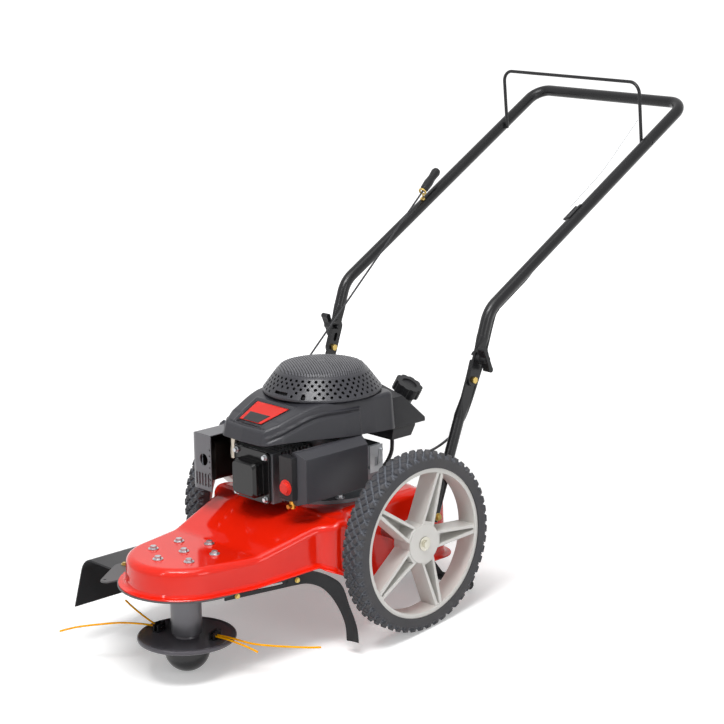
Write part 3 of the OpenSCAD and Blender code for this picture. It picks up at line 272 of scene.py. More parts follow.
def finish(name, base, tint, mottle_mm, rough, grain_mm, depth_mm,
           metallic=0.0, shine=0.5, bevel_mm=0.0, spread=0.5):
    """One procedural finish on Object coordinates: a mottle mixes base and up to spread of the tint, a second
    noise moves the roughness between its two ends, and a fine grain lifts the surface by depth_mm. shine
    scales the mirror share of a coat or plastic, and bevel_mm rounds the edges in the shading."""
    mat = bpy.data.materials.new(name)
    mat.use_nodes = True
    tree = mat.node_tree
    tree.nodes.clear()
    place = add(tree, "ShaderNodeTexCoord").outputs["Object"]
    mottle = add(tree, "ShaderNodeTexNoise", {"Scale": 1000 / mottle_mm, "Detail": 4.0}, {"Vector": place})
    share = add(tree, "ShaderNodeMapRange", {"From Min": 0.35, "From Max": 0.75, "To Max": spread},
                {"Value": mottle.outputs["Fac"]})
    mix = add(tree, "ShaderNodeMix", {6: linear(base), 7: linear(tint)}, {0: share.outputs["Result"]},
              data_type="RGBA")
    wear = add(tree, "ShaderNodeTexNoise", {"Scale": 380 / mottle_mm, "Detail": 3.0}, {"Vector": place})
    gloss = add(tree, "ShaderNodeMapRange",
                {"From Min": 0.3, "From Max": 0.7, "To Min": rough[0], "To Max": rough[1]},
                {"Value": wear.outputs["Fac"]})
    grain = add(tree, "ShaderNodeTexNoise", {"Scale": 1000 / grain_mm, "Detail": 2.0}, {"Vector": place})
    bump_links = {"Height": grain.outputs["Fac"]}
    if bevel_mm:
        soft = add(tree, "ShaderNodeBevel", {"Radius": bevel_mm / 1000}, samples=4)
        bump_links["Normal"] = soft.outputs["Normal"]
    bump = add(tree, "ShaderNodeBump", {"Strength": 1.0, "Distance": depth_mm / 1000}, bump_links)
    shader = add(tree, "ShaderNodeBsdfPrincipled", {"Metallic": metallic, "Specular IOR Level": shine},
                 {"Base Color": mix.outputs[2], "Roughness": gloss.outputs["Result"],
                  "Normal": bump.outputs["Normal"]})
    add(tree, "ShaderNodeOutputMaterial", None, {"Surface": shader.outputs["BSDF"]})
    return mat


def shaded(mat, share, other):
    """Mixes another colour into a finish: share is the socket that says how much of it shows."""
    tree = mat.node_tree
    shader = tree.nodes["Principled BSDF"]
    plain = shader.inputs["Base Color"].links[0].from_socket
    mix = add(tree, "ShaderNodeMix", {7: linear(other)}, {0: share, 6: plain}, data_type="RGBA")
    tree.links.new(mix.outputs[2], shader.inputs["Base Color"])
    return mat


def dress(mat, *names):
    """Puts one finish on CAD nodes."""
    for name in names:
        for slot in node[name].material_slots:
            slot.material = mat


def mesh_piece(name, grid, mat, loop_u=False, loop_v=False, caps=False, sharp=30):
    """A mesh from a grid of points (rows, columns, xyz) in metres. loop_u closes the rows into a ring and
    loop_v the columns; caps closes both end rows of a tube. Doubles are merged, so folded ends weld shut."""
    n, m = grid.shape[:2]
    i, j = np.meshgrid(np.arange(n if loop_u else n - 1), np.arange(m if loop_v else m - 1), indexing="ij")
    a, b = (i + 1) % n, (j + 1) % m
    faces = np.stack([i * m + j, i * m + b, a * m + b, a * m + j], -1).reshape(-1, 4).tolist()
    if caps:
        faces += [list(range(m))[::-1], list(range((n - 1) * m, n * m))]
    mesh = bpy.data.meshes.new(name)
    mesh.from_pydata(grid.reshape(-1, 3).tolist(), [], faces)
    work = bmesh.new()
    work.from_mesh(mesh)
    bmesh.ops.remove_doubles(work, verts=work.verts, dist=2e-6)
    bmesh.ops.recalc_face_normals(work, faces=work.faces)
    work.to_mesh(mesh)
    work.free()
    mesh.polygons.foreach_set("use_smooth", np.ones(len(mesh.polygons), bool))
    mesh.set_sharp_from_angle(angle=math.radians(sharp))
    mesh.materials.append(mat)
    piece = bpy.data.objects.new(name, mesh)
    bpy.context.scene.collection.objects.link(piece)
    return piece


def run_length(points):
    """Length of a line up to each of its points."""
    return np.concatenate([[0], np.cumsum(np.linalg.norm(np.diff(points, axis=0), axis=1))])


def smooth_path(points, steps):
    """Catmull-Rom curve through the points: each span is a cubic whose end slopes are half the chord
    between the neighbours."""
    p = np.asarray(points, float)
    p = np.vstack([2 * p[0] - p[1], p, 2 * p[-1] - p[-2]])
    t = np.linspace(0, 1, steps, endpoint=False)[None, :, None]
    a, b, c, d = p[:-3, None], p[1:-2, None], p[2:-1, None], p[3:, None]
    q = 0.5 * (2 * b + (c - a) * t + (2 * a - 5 * b + 4 * c - d) * t ** 2 + (3 * b - a - 3 * c + d) * t ** 3)
    return np.vstack([q.reshape(-1, p.shape[1]), p[-2]])


def tube(path, radius, sides, across, lay=0.0, strands=0):
    """A round profile carried along a path: ring k is path[k] + r (cos v n + sin v b), with n square to the
    path and to the direction across. With strands, r swells by lay where two opposed helices cross."""
    t = np.gradient(path, axis=0)
    t /= np.linalg.norm(t, axis=1, keepdims=True)
    n = np.cross(t, across)
    n /= np.linalg.norm(n, axis=1, keepdims=True)
    b = np.cross(t, n)
    v = np.linspace(0, 2 * np.pi, sides, endpoint=False)[None, :]
    r = np.full((len(path), sides), float(radius))
    if strands:
        turn = 2 * np.pi * run_length(path)[:, None] / (8 * radius)
        r = radius * (1 - lay + lay * np.maximum(np.abs(np.sin(strands * (v + turn) / 2)),
                                                 np.abs(np.sin(strands * (v - turn) / 2))))
    c, s = np.cos(v)[..., None], np.sin(v)[..., None]
    return path[:, None] + r[..., None] * (c * n[:, None] + s * b[:, None])


def rounded_side(corners, pitch_mm):
    """Side line of a shell from corners (x, y, radius): each corner is turned into an arc of its radius, and
    the line then gets points at an even pitch."""
    corners = np.array(corners, float)
    points, radii = corners[:, :2], corners[:, 2]
    out = []
    for k, (p, r) in enumerate(zip(points, radii)):
        if r == 0:
            out.append(p[None])
            continue
        u, w = points[k - 1] - p, points[k + 1] - p
        u, w = u / np.linalg.norm(u), w / np.linalg.norm(w)
        half = math.acos(float(np.clip(u @ w, -1, 1))) / 2
        middle = p + (u + w) / np.linalg.norm(u + w) * r / math.sin(half)
        start, stop = p + u * r / math.tan(half) - middle, p + w * r / math.tan(half) - middle
        first, last = math.atan2(start[1], start[0]), math.atan2(stop[1], stop[0])
        sweep = (last - first + math.pi) % (2 * math.pi) - math.pi
        a = first + sweep * np.linspace(0, 1, 40)
        out.append(middle + r * np.stack([np.cos(a), np.sin(a)], -1))
    line = np.vstack(out)
    s = run_length(line)
    keep = np.concatenate([[True], np.diff(s) > 1e-6])
    even = np.linspace(0, s[-1], int(s[-1] / pitch_mm) + 1)
    return np.stack([np.interp(even, s[keep], line[keep, k]) for k in (0, 1)], -1)


def ease(t):
    """Smooth step from 0 to 1 over t from 0 to 1."""
    t = np.clip(t, 0, 1)
    return t * t * (3 - 2 * t)


def height_at(table, y, soften=10):
    """Height table read at y, its breaks rounded over soften millimetres to each side."""
    at, h = np.array(table, float).T
    return np.mean([np.interp(y + k, at, h) for k in np.linspace(-soften, soften, 9)], 0)


def shell_surface(side, rim, top, edge_r, wall, lip, draft, sink, wall_steps=1, swell=None, cap_steps=90):
    """A pressed or moulded shell, open below. Row k is the closed section at point k of the side line: over
    the top edge's quarter round, down the drafted wall, round the rim flange and back up inside, then the
    mirror image and across the top. Insets run along the side line's normal and heights come from the rim
    and top tables; swell(y, z) pushes the wall out and sink(x, y) presses the top down."""
    d = np.gradient(side, axis=0)
    d /= np.linalg.norm(d, axis=1, keepdims=True)
    out = np.stack([d[:, 1], -d[:, 0]], -1)
    out[0], out[-1] = (0, -1), (0, 1)
    low, high = height_at(rim, side[:, 1]), height_at(top, side[:, 1])
    a = np.radians(np.linspace(90, 0, 9))
    inner_r = edge_r - wall
    columns = [(draft + edge_r * (1 - np.cos(t)), high - edge_r * (1 - np.sin(t))) for t in a]
    # A flanged wall ends in a root 5 mm high, which turns out into the flange
    root, foot = (0.6, low + wall + 5) if lip else (0.0, low)
    for f in np.arange(1, wall_steps) / wall_steps:
        z = (high - edge_r) * (1 - f) + foot * f
        pushed = swell(side[:, 1], z) if swell else 0
        columns.append((draft * (1 - f) + root * f - pushed, z))
    if lip:
        columns += [(root, foot), (-2.0, low + wall + 1.2), (-5.0, low + wall), (1 - lip, low + wall),
                    (-lip, low + wall - 1), (-lip, low)]
    else:
        columns += [(-swell(side[:, 1], low) if swell else 0, low)]
    columns += [(wall, low)]
    columns += [(draft + wall + inner_r * (1 - np.cos(t)), high - wall - inner_r * (1 - np.sin(t)))
                for t in a[::-1]]
    inset = np.stack([np.broadcast_to(c[0], high.shape) for c in columns], 1)
    place = side[:, None] - inset[..., None] * out[:, None]
    place[[0, -1], :, 0] = 0
    right = np.concatenate([place, np.stack([c[1] for c in columns], 1)[..., None]], 2)
    left = right[:, ::-1] * (-1, 1, 1)
    g = (np.arange(1, cap_steps) / cap_steps)[None, :, None]
    cap = left[:, -1:] * (1 - g) + right[:, :1] * g
    cap[..., 2] -= sink(cap[..., 0], cap[..., 1])
    return np.concatenate([right, left, cap], 1)


def cord_piece(name, path, radius_mm, sides, across, mat, **braid):
    """A closed tube along a path in metres, with a radius in millimetres."""
    grid = tube(path, radius_mm / 1000, sides, across, **braid)
    return mesh_piece(name, grid, mat, loop_v=True, caps=True, sharp=60)


def starter_rope(radius):
    """Rope from inside the dome's port to the guide, and a short stub past it."""
    # Braided nylon rope: matt, with a fine crossing of strands
    mat = finish("braided_nylon_rope", "#2a2a2c", "#48484b", 3, (0.7, 0.85), 0.8, 0.25)
    out, guide = np.array(ROPE_OUT), np.array(ROPE_GUIDE)
    ahead = (guide - out) / np.linalg.norm(guide - out)
    path = standing(out + (guide - out) * np.linspace(*ROPE_SPAN, 420)[:, None])
    rope = cord_piece("starter_rope_braid", path, radius, 16, (1, 0, 0), mat, lay=0.14, strands=6)
    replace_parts(rope, "starter_rope")
    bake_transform(rope)
    path = standing(guide + ahead * np.linspace(*STUB_SPAN, 160)[:, None])
    stub = cord_piece("starter_rope_drawn", path, radius, 12, (1, 0, 0), mat)
    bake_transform(stub)


def brake_cable(radius):
    """Cable sheath from the clip down the right arm, winding from its inner side to below it, and then free
    from the bend down to the engine."""
    # Extruded PVC sheath over a steel cable: even satin black
    mat = finish("extruded_pvc_sheath", "#1b1b1d", "#2a2a2c", 40, (0.38, 0.5), 0.6, 0.02)
    arm = np.array([math.cos(ARM_SLOPE), math.sin(ARM_SLOPE)])
    bend = np.array(PIVOT) + LEG_L * np.array([math.cos(LEG_SLOPE), math.sin(LEG_SLOPE)])
    k = np.arange(CABLE_STEPS)
    middle = bend + np.outer(CLIP_S - CABLE_STEP * k, arm)
    w = np.radians(np.minimum(90, CABLE_TURN * k))
    off = TUBE_R + radius + CABLE_GAP
    route = np.column_stack([ARM_X - off * np.cos(w), middle[:, 0] + off * np.sin(w) * arm[1],
                             middle[:, 1] - off * np.sin(w) * arm[0]])
    path = standing(smooth_path(route, 6))
    cable = cord_piece("brake_cable_upper", path, radius, 14, (1, 0.2, 0), mat)
    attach(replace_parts(cable, "cable_upper"), "handle")
    path = standing(smooth_path(CABLE_LOWER, 8))
    cable = cord_piece("brake_cable_lower", path, radius, 14, (0.3, 0.2, 1), mat)
    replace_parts(cable, "cable_lower")
    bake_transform(cable)


def bail_wire(radius):
    """Wire from the bail to the clip on the arm."""
    # Drawn steel wire: bright, with a fine grain
    mat = finish("drawn_steel_wire", "#c4c6c9", "#dcdee0", 20, (0.28, 0.4), 0.5, 0.02, metallic=0.6)
    path = standing(smooth_path(BAIL_WIRE, 16))
    wire = cord_piece("bail_wire_strand", path, radius, 10, (1, 0, 0), mat)
    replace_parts(wire, "bail_wire")
    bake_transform(wire)


def fuel_hose(radius):
    """Hose from the tank down and in to the engine."""
    # Nitrile fuel hose: dull black rubber
    mat = finish("nitrile_rubber_hose", "#232325", "#323234", 15, (0.6, 0.75), 0.7, 0.05)
    path = standing(smooth_path(FUEL_HOSE, 10))
    hose = cord_piece("fuel_hose_tube", path, radius, 18, (1, 0, 0), mat)
    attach(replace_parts(hose, "fuel_hose"), "chassis")


def trimmer_line(radius, colour):
    """Four free ends of line, two from each anchor."""
    # Extruded nylon line: orange yellow, a little light inside it and a soft shine
    mat = finish("extruded_nylon_line", colour, "#ffb806", 18, (0.4, 0.5), 1.0, 0.02, shine=0.08)
    inputs = mat.node_tree.nodes["Principled BSDF"].inputs
    inputs["Subsurface Weight"].default_value = 0.25
    inputs["Subsurface Radius"].default_value = (0.002, 0.001, 0.0004)
    for name, routes in STRANDS.items():
        for part, route in routes.items():
            path = standing(smooth_path(np.add(route, (0, 0, LINE_H)), 10))
            strand = cord_piece(f"{name}_{part}", path, radius, 14, (0, 0, 1), mat)
            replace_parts(strand, name)
            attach(strand, "head")


class TRIMMER_OT_cords(bpy.types.Operator):
    """Starter rope, brake cable, bail wire, fuel hose and trimmer line, each a tube along its route"""
    bl_idname = "trimmer.cords"
    bl_label = "Cords and line"

    def execute(self, context):
        size = context.scene.trimmer_sizes
        starter_rope(size.rope_r)
        brake_cable(size.cable_r)
        bail_wire(size.wire_r)
        fuel_hose(size.hose_r)
        trimmer_line(size.line_r, context.scene.trimmer_colours.line)
        return {"FINISHED"}


def flank_x(size, y):
    """Half width of the deck at y on its straight flank, which leaves the nose's circle at its tangent."""
    return size.nose_r / math.cos(size.flank_angle) + y * math.tan(size.flank_angle)


def deck_rim(size):
    """Height table of the deck's rim along Y: it rises to the wings and drops along them to the box."""
    rim = size.nose_rim
    return [(-size.nose_r, rim), (60, rim), (WING_Y - 8, rim + 15), (WING_Y + 22, rim + 2),
            (WING_Y + 55, rim - 30), (WING_Y + 90, BOX_RIM), (size.deck_rear, BOX_RIM)]


def deck_surface(size):
    """The pressed deck: round nose, straight flanks, wings before the wheels and the box between them, as one
    shell with a flange along its rim."""
    r, half, rear, seat = size.nose_r, size.deck_half_w, size.deck_rear, size.seat_h
    wing = half + WING_OUT
    tangent = r * math.tan((math.pi / 2 - size.flank_angle) / 2)
    side = rounded_side([
        (0, -r, 0), (tangent, -r, r - 0.01), (flank_x(size, WING_Y), WING_Y, 24), (wing, WING_Y + 20, 22),
        (wing, WING_Y + 50, 22), (half, WING_Y + 90, 24), (half, rear - 4, 36), (0, rear, 0)], 5.0)
    top = [(-r, size.nose_top), (74, size.nose_top), (232, seat), (492, seat), (rear, seat - 34)]

    def platform(x, y):
        """Round engine platform: the top inside a circle about the crank stands proud."""
        return -PLATFORM_H * ease((PLATFORM_R - np.hypot(x, y - CRANK_Y)) / PLATFORM_SLOPE)

    return shell_surface(side, deck_rim(size), top, edge_r=15.0, wall=size.sheet_t, lip=size.flange_w,
                         draft=3.0, sink=platform)


def shield_surface(size):
    """Band between two edges, each a smooth curve of height over the length s of the plan. A section goes up
    the outer face and down the inner one, with one point on the middle of each edge, and s places it on the
    flank, on the arc or on the straight run."""
    lower, upper = (smooth_path(edge, 10)[:, None] for edge in (SHIELD_LOWER, SHIELD_UPPER))
    f = np.linspace(0.0, 1.0, 11)[1:-1]
    share = np.concatenate([f, [1.0], f[::-1], [0.0]])[None, :, None]
    deep = SHIELD_T * np.concatenate([0 * f, [0.5], 0 * f + 1, [0.5]])[None]
    s, z = (lower * (1 - share) + upper * share).transpose(2, 0, 1)
    on_flank, on_arc = s < SHIELD_ARC_START, s < SHIELD_ARC_END
    flank_y = s * math.cos(size.flank_angle)
    arc_x = flank_x(size, SHIELD_ARC_Y)
    a = math.pi - (s - SHIELD_ARC_START) / SHIELD_ARC_R
    x = np.where(on_flank, flank_x(size, flank_y) + SHIELD_OFF - deep, np.where(
        on_arc, arc_x + SHIELD_OFF + SHIELD_ARC_R + (SHIELD_ARC_R + deep) * np.cos(a),
        arc_x + SHIELD_RUN[0] + s - SHIELD_ARC_END))
    y = np.where(on_flank, flank_y, np.where(
        on_arc, SHIELD_ARC_Y + (SHIELD_ARC_R + deep) * np.sin(a), SHIELD_RUN[1] + deep))
    return np.stack([x, y, z], -1)


def lip_surface(size):
    """Strip along the flank, as thick as the shield, from the pan up to the deck's rim. It reaches down
    behind the pan's rear end."""
    y = np.linspace(*LIP_SPAN, 24)[:, None]
    x = flank_x(size, y) + SHIELD_OFF - SHIELD_T * np.array([0.0, 0.0, 1.0, 1.0])
    foot = np.where(y > PAN_END, LIP_FOOT[1], LIP_FOOT[0])
    head = height_at(deck_rim(size), y) - LIP_GAP
    z = foot + (head - foot) * np.array([0.0, 1.0, 1.0, 0.0])
    return np.stack([x, y + 0 * x, z], -1)


class TRIMMER_OT_deck(bpy.types.Operator):
    """Pressed deck in gloss powder coat, with the pan, shields, flap and cutting head"""
    bl_idname = "trimmer.deck"
    bl_label = "Deck"

    def execute(self, context):
        size, colour = context.scene.trimmer_sizes, context.scene.trimmer_colours
        # Gloss powder coat on pressed steel: deep red, faint orange peel under a clear gloss
        paint = finish("gloss_powder_coat_red", colour.deck, "#cc1607", 160, (0.07, 0.12), 2.6, 0.012,
                       shine=0.34, spread=0.6)
        deck = mesh_piece("deck_pressing", standing(deck_surface(size)), paint, loop_v=True)
        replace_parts(deck, "deck_shell")
        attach(deck, "chassis")
        # Satin grey coat on steel plate
        dress(finish("satin_grey_coat", "#4b4a4b", "#3e3d3f", 90, (0.36, 0.5), 1.2, 0.02, bevel_mm=0.8),
              "deck_pan")
        # Satin dark coat on spun steel
        dress(finish("satin_dark_coat", "#524f55", "#444247", 70, (0.24, 0.34), 1.2, 0.02, shine=0.4,
                     bevel_mm=1.2), "cutting_disc")
        # Turned steel tube under a thin grey coat: some of the metal's shine is left
        dress(finish("thin_grey_coat", "#6a696d", "#56555a", 60, (0.24, 0.34), 1.2, 0.02, metallic=0.4,
                     bevel_mm=1.2), "spindle_housing")
        # Moulded polypropylene: black, fine spark grain
        moulded = finish("moulded_polypropylene_black", "#19191b", "#242426", 60, (0.36, 0.5), 0.9, 0.05,
                         shine=0.3, bevel_mm=1.0)
        shield = mesh_piece("shield_moulding", standing(shield_surface(size)), moulded, loop_v=True,
                            caps=True, sharp=50)
        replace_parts(shield, "right_shield")
        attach(shield, "chassis")
        lip = mesh_piece("shield_lip", standing(lip_surface(size)), moulded, loop_v=True, caps=True)
        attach(lip, "chassis")
        dress(moulded, "left_deflector", "air_cleaner_base", "fuel_cap", "left_knob", "right_knob",
              "starter_grip", "cable_clip", "recoil_pulley", "line_anchors")
        # Moulded rubber: dull black
        dress(finish("moulded_rubber_black", "#1c1c1e", "#29292b", 40, (0.5, 0.66), 1.1, 0.06, shine=0.35),
              "drive_belt", "trailing_flap")
        # Moulded nylon, worn smooth: black with a wide soft shine
        dress(finish("moulded_nylon_black", "#161618", "#202022", 50, (0.16, 0.26), 1.2, 0.03), "ground_ball")
        return {"FINISHED"}


def shroud_top(seat):
    """Height table of the shroud's top along Y, over the engine seat."""
    return [(SHROUD_FRONT, seat + 167), (165, seat + 175), (238, seat + 200), (268, seat + 206),
            (SHROUD_REAR, seat + 204)]


def badge_half(y, front):
    """Half width at y of a trapezoid whose half width at the badge's front is front."""
    return front + (y - BADGE_FRONT) * BADGE_FLARE


def shroud_surface(seat):
    """The blower shroud: narrow at the front, wide under the dome, with raised side panels and a recess."""
    side = rounded_side([
        (0, SHROUD_FRONT, 0), (60, 150, 16), (80, 184, 30), (93, 239, 0), (100, 269, 0), (112, 320, 90),
        (121, 392, 60), (121, 448, 24), (92, 460, 16), (0, SHROUD_REAR, 0)], 2.5)
    rim = [(SHROUD_FRONT, seat + 140), (180, seat + 144), (250, seat + 141), (SHROUD_REAR, seat + 128)]
    top = shroud_top(seat)

    def panel(y, z):
        """Raised side panel under a ridge 14 mm below the top, with a cove below it and a square rear end."""
        under = height_at(top, y) - 14 - z
        lift = 4.0 * ease(under / 2) - 2.6 * np.exp(-((under - 9) / 2.8) ** 2)
        return lift * ease((PANEL_REAR - y) / 3) * ease((y - SHROUD_FRONT - 5) / 12)

    def recess(x, y):
        """Bare recess: a trapezoid, wider to the rear, pressed into the front slope inside a low lip."""
        front, rear = RECESS_SPAN
        inside = np.minimum(np.minimum(badge_half(y, 38) - np.abs(x), y - front), rear - y)
        return RECESS_DEPTH * ease(inside / 4) - 1.3 * np.exp(-((inside + 1.5) / 1.8) ** 2)

    return shell_surface(side, rim, top, edge_r=9.0, wall=2.5, lip=0, draft=5.0, wall_steps=24, swell=panel,
                         sink=recess)


def badge_layer(name, mat, seat, span, front, sunk, thick_mm):
    """Thin trapezoid sheet along the shroud's top over a span of Y: x = f half(y) with f from -1 to 1, and
    z lies sunk below the top."""
    f, y = np.meshgrid(np.linspace(-1, 1, 25), np.linspace(*span, 25), indexing="ij")
    grid = np.stack([f * badge_half(y, front), y, height_at(shroud_top(seat), y) - sunk], -1)
    layer = mesh_piece(name, standing(grid), mat)
    sheet = layer.modifiers.new("thickness", "SOLIDIFY")
    sheet.thickness, sheet.offset = thick_mm / 1000, 1
    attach(layer, "chassis")


def crown_surface(seat):
    """Crown of the dome: an elliptic cap with round-backed ribs, the root of |sin| of the distance u across
    them, and a plain boss in the middle. A plain skin inside the dome's own closes it."""
    r, v = np.meshgrid(np.linspace(0, CROWN_R, 150), np.linspace(0, 2 * np.pi, 420, endpoint=False),
                       indexing="ij")
    x, y = r * np.cos(v), r * np.sin(v)
    u = x * math.cos(RIB_TURN) + y * math.sin(RIB_TURN)
    rib = np.sqrt(np.abs(np.sin(np.pi * u / RIB_PITCH))) * ease((CROWN_R - 2 - r) / 3)
    cap = seat + CROWN_UP + CROWN_RISE * np.sqrt(1 - (r / CROWN_R) ** 2)
    skin = np.stack([x, y + CRANK_Y, cap + np.where(r < BOSS_R, BOSS_H, RIB_H * rib)], -1)
    back = skin[::-12].copy()
    back[..., 2] = cap[::-12] - CROWN_T
    tip = np.broadcast_to(back[-1:].mean(1, keepdims=True), skin[:1].shape)
    return np.concatenate([skin, back, tip])


def ribbed_finish(seat):
    """Moulded nylon of the dome, with painted shade in dark stripes where |sin| of the distance across the
    ribs is low.
    """
    # Moulded nylon, with painted shade: darker in the valleys between the ribs
    mat = finish("moulded_nylon_ribbed", "#58585d", "#4a4a4f", 120, (0.34, 0.46), 1.0, 0.05, shine=0.35)
    tree = mat.node_tree
    place = add(tree, "ShaderNodeTexCoord").outputs["Object"]
    across = np.array([math.cos(RIB_TURN), math.sin(RIB_TURN) * math.cos(PITCH),
                       -math.sin(RIB_TURN) * math.sin(PITCH)]) * 1000
    start = float(across @ standing((0, CRANK_Y, seat + CROWN_UP)))
    reach = add(tree, "ShaderNodeVectorMath", {1: across}, {0: place}, operation="DOT_PRODUCT")
    turn = add(tree, "ShaderNodeMath", {1: math.pi / RIB_PITCH, 2: -math.pi / RIB_PITCH * start},
               {0: reach.outputs["Value"]}, operation="MULTIPLY_ADD")
    wave = add(tree, "ShaderNodeMath", None, {0: turn.outputs[0]}, operation="SINE")
    rib = add(tree, "ShaderNodeMath", None, {0: wave.outputs[0]}, operation="ABSOLUTE")
    # Painted shade: the valleys between the ribs are mixed towards near-black
    valley_shade = add(tree, "ShaderNodeMapRange", {"From Min": 0.8, "From Max": 0.35}, {"Value": rib.outputs[0]})
    return shaded(mat, valley_shade.outputs["Result"], "#111113")


def shade_cone_surface(seat):
    """Cone of 1 mm sheet behind the dome's holes, left open where the rope passes, that stands in for the
    shade inside the dome.
    """
    v = np.radians(np.linspace(164, 508, 173))[:, None]
    r = np.array([110.0, 86.0, 85.0, 109.0])
    z = seat + np.array([210.5, 243.0, 242.5, 210.0])
    return np.stack([r * np.cos(v), CRANK_Y + r * np.sin(v), z + 0 * v], -1)


def shroud_pieces(seat, colour):
    """Skin of the blower shroud, and the two plain layers in its recess."""
    # Moulded nylon, glass filled: nearly black with a fine spark grain
    dark = finish("moulded_nylon_dark", colour, "#28282c", 120, (0.3, 0.4), 1.0, 0.05, shine=0.35,
                  bevel_mm=1.6)
    shroud = mesh_piece("shroud_moulding", standing(shroud_surface(seat)), dark, loop_v=True)
    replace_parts(shroud, "blower_shroud")
    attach(shroud, "chassis")
    # Blank plate of painted aluminium: plain red
    plate = finish("painted_aluminium_plate", "#d0261b", "#c12018", 40, (0.3, 0.4), 1.5, 0.02, shine=0.2)
    badge_layer("badge_plate", plate, seat, span=(172, 231), front=30, sunk=2.2, thick_mm=0.9)
    # Screened ink: a plain black field on the lower part of the plate
    ink = finish("screened_black_ink", "#1c1c1e", "#262628", 30, (0.35, 0.45), 1.2, 0.01, shine=0.3)
    badge_layer("badge_field", ink, seat, span=(172.28, 198.24), front=21, sunk=1.25,
                thick_mm=0.3)


def dome_pieces(seat):
    """Ribbed crown of the dome with painted shade in its valleys, and a near-black sheet of painted shade
    behind its holes.
    """
    ribbed = ribbed_finish(seat)
    crown = mesh_piece("dome_crown", standing(crown_surface(seat)), ribbed, loop_v=True, sharp=50)
    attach(crown, "chassis")
    # Painted shade: a near-black sheet behind the holes, so that nearly no light comes back through them
    black = finish("near_black_painted_shade", "#0e0e10", "#18181a", 8, (0.5, 0.65), 1.0, 0.05, shine=0.2)
    shade_cone = mesh_piece("dome_shade_cone", standing(shade_cone_surface(seat)), black, loop_v=True, caps=True)
    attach(shade_cone, "chassis")


def engine_plastics(colour):
    """Finishes of the engine's moulded nodes."""
    # Moulded nylon, glass filled: dark grey with a fine spark grain
    dress(finish("moulded_nylon_grey", colour, "#2f2f33", 120, (0.3, 0.4), 1.0, 0.05, shine=0.35,
                 bevel_mm=1.6), "recoil_dome", "air_cleaner_cover")
    # Blow-moulded polyethylene: nearly black, soft shine
    dress(finish("blow_moulded_polyethylene", "#1f1f22", "#2a2a2d", 70, (0.36, 0.48), 1.2, 0.05, shine=0.35,
                 bevel_mm=2.5), "fuel_tank")
    # Moulded silicone bulb: soft red
    dress(finish("moulded_silicone_red", "#d92a1d", "#c5221a", 25, (0.35, 0.5), 1.0, 0.03, bevel_mm=1.5),
          "primer_bulb")


def engine_metals():
    """Finishes of the engine's metal nodes."""
    # Die-cast aluminium: grey, slightly rough skin
    dress(finish("die_cast_aluminium", "#83868a", "#6c6f73", 30, (0.42, 0.58), 1.4, 0.08, metallic=1.0,
                 bevel_mm=0.8), "engine_block", "carburettor", "flywheel", "engine_pulley", "spindle_pulley")
    # Gloss coat on pressed steel: black with sharp lights
    dress(finish("gloss_coat_black", "#0c0c0d", "#161617", 60, (0.14, 0.22), 1.5, 0.03, shine=0.35,
                 bevel_mm=1.6), "valve_cover")
    # Graphite coat on pressed steel: mid grey with some of the metal's shine
    dress(finish("graphite_coat_steel", "#626266", "#515155", 60, (0.28, 0.4), 1.2, 0.03, metallic=0.35,
                 bevel_mm=1.6), "muffler_guard")
    # Heat-tinted muffler steel: dark brown grey
    dress(finish("heat_tinted_steel", "#34312f", "#28231f", 35, (0.4, 0.6), 1.0, 0.04, metallic=1.0,
                 bevel_mm=0.8), "muffler")
    # Nickel-plated steel: nearly a mirror, warm grey
    dress(finish("nickel_plated_steel", "#aaa296", "#8d8478", 12, (0.16, 0.26), 0.6, 0.02, metallic=1.0,
                 bevel_mm=0.6), "spark_plug")
    # Machined brass: yellow metal with soft lights
    dress(finish("machined_brass", "#c8923e", "#b37b2c", 12, (0.25, 0.36), 0.6, 0.02, metallic=1.0,
                 bevel_mm=0.5), "brass_fittings")


class TRIMMER_OT_engine(bpy.types.Operator):
    """Shroud skin, dome crown, a sheet of painted shade behind the dome's holes, and the finishes of the
    engine
    """
    bl_idname = "trimmer.engine"
    bl_label = "Engine"

    def execute(self, context):
        seat, colour = context.scene.trimmer_sizes.seat_h, context.scene.trimmer_colours
        shroud_pieces(seat, colour.shroud)
        dome_pieces(seat)
        engine_plastics(colour.dome)
        engine_metals()
        return {"FINISHED"}


def tyre_section():
    """Half width and radius round the tyre: from the rim seat up one wall, round the shoulder, across the
    tread and down the other wall."""
    low, edge = WHEEL_R - TYRE_H, WHEEL_R - TYRE_SHOULDER
    crest = TYRE_HALF_W - TYRE_SHOULDER
    a = np.radians(np.linspace(0, 90, 13))
    wall = np.array([[TYRE_HALF_W, r] for r in (low, low + 7, low + 14, edge - 3)])
    bend = np.stack([crest + TYRE_SHOULDER * np.cos(a), edge + TYRE_SHOULDER * np.sin(a)], -1)
    flat = np.stack([np.linspace(crest, 0, 18)[1:], np.full(17, WHEEL_R)], -1)
    right = np.vstack([wall, bend, flat])
    return np.vstack([right, right[-2::-1] * (-1, 1)])


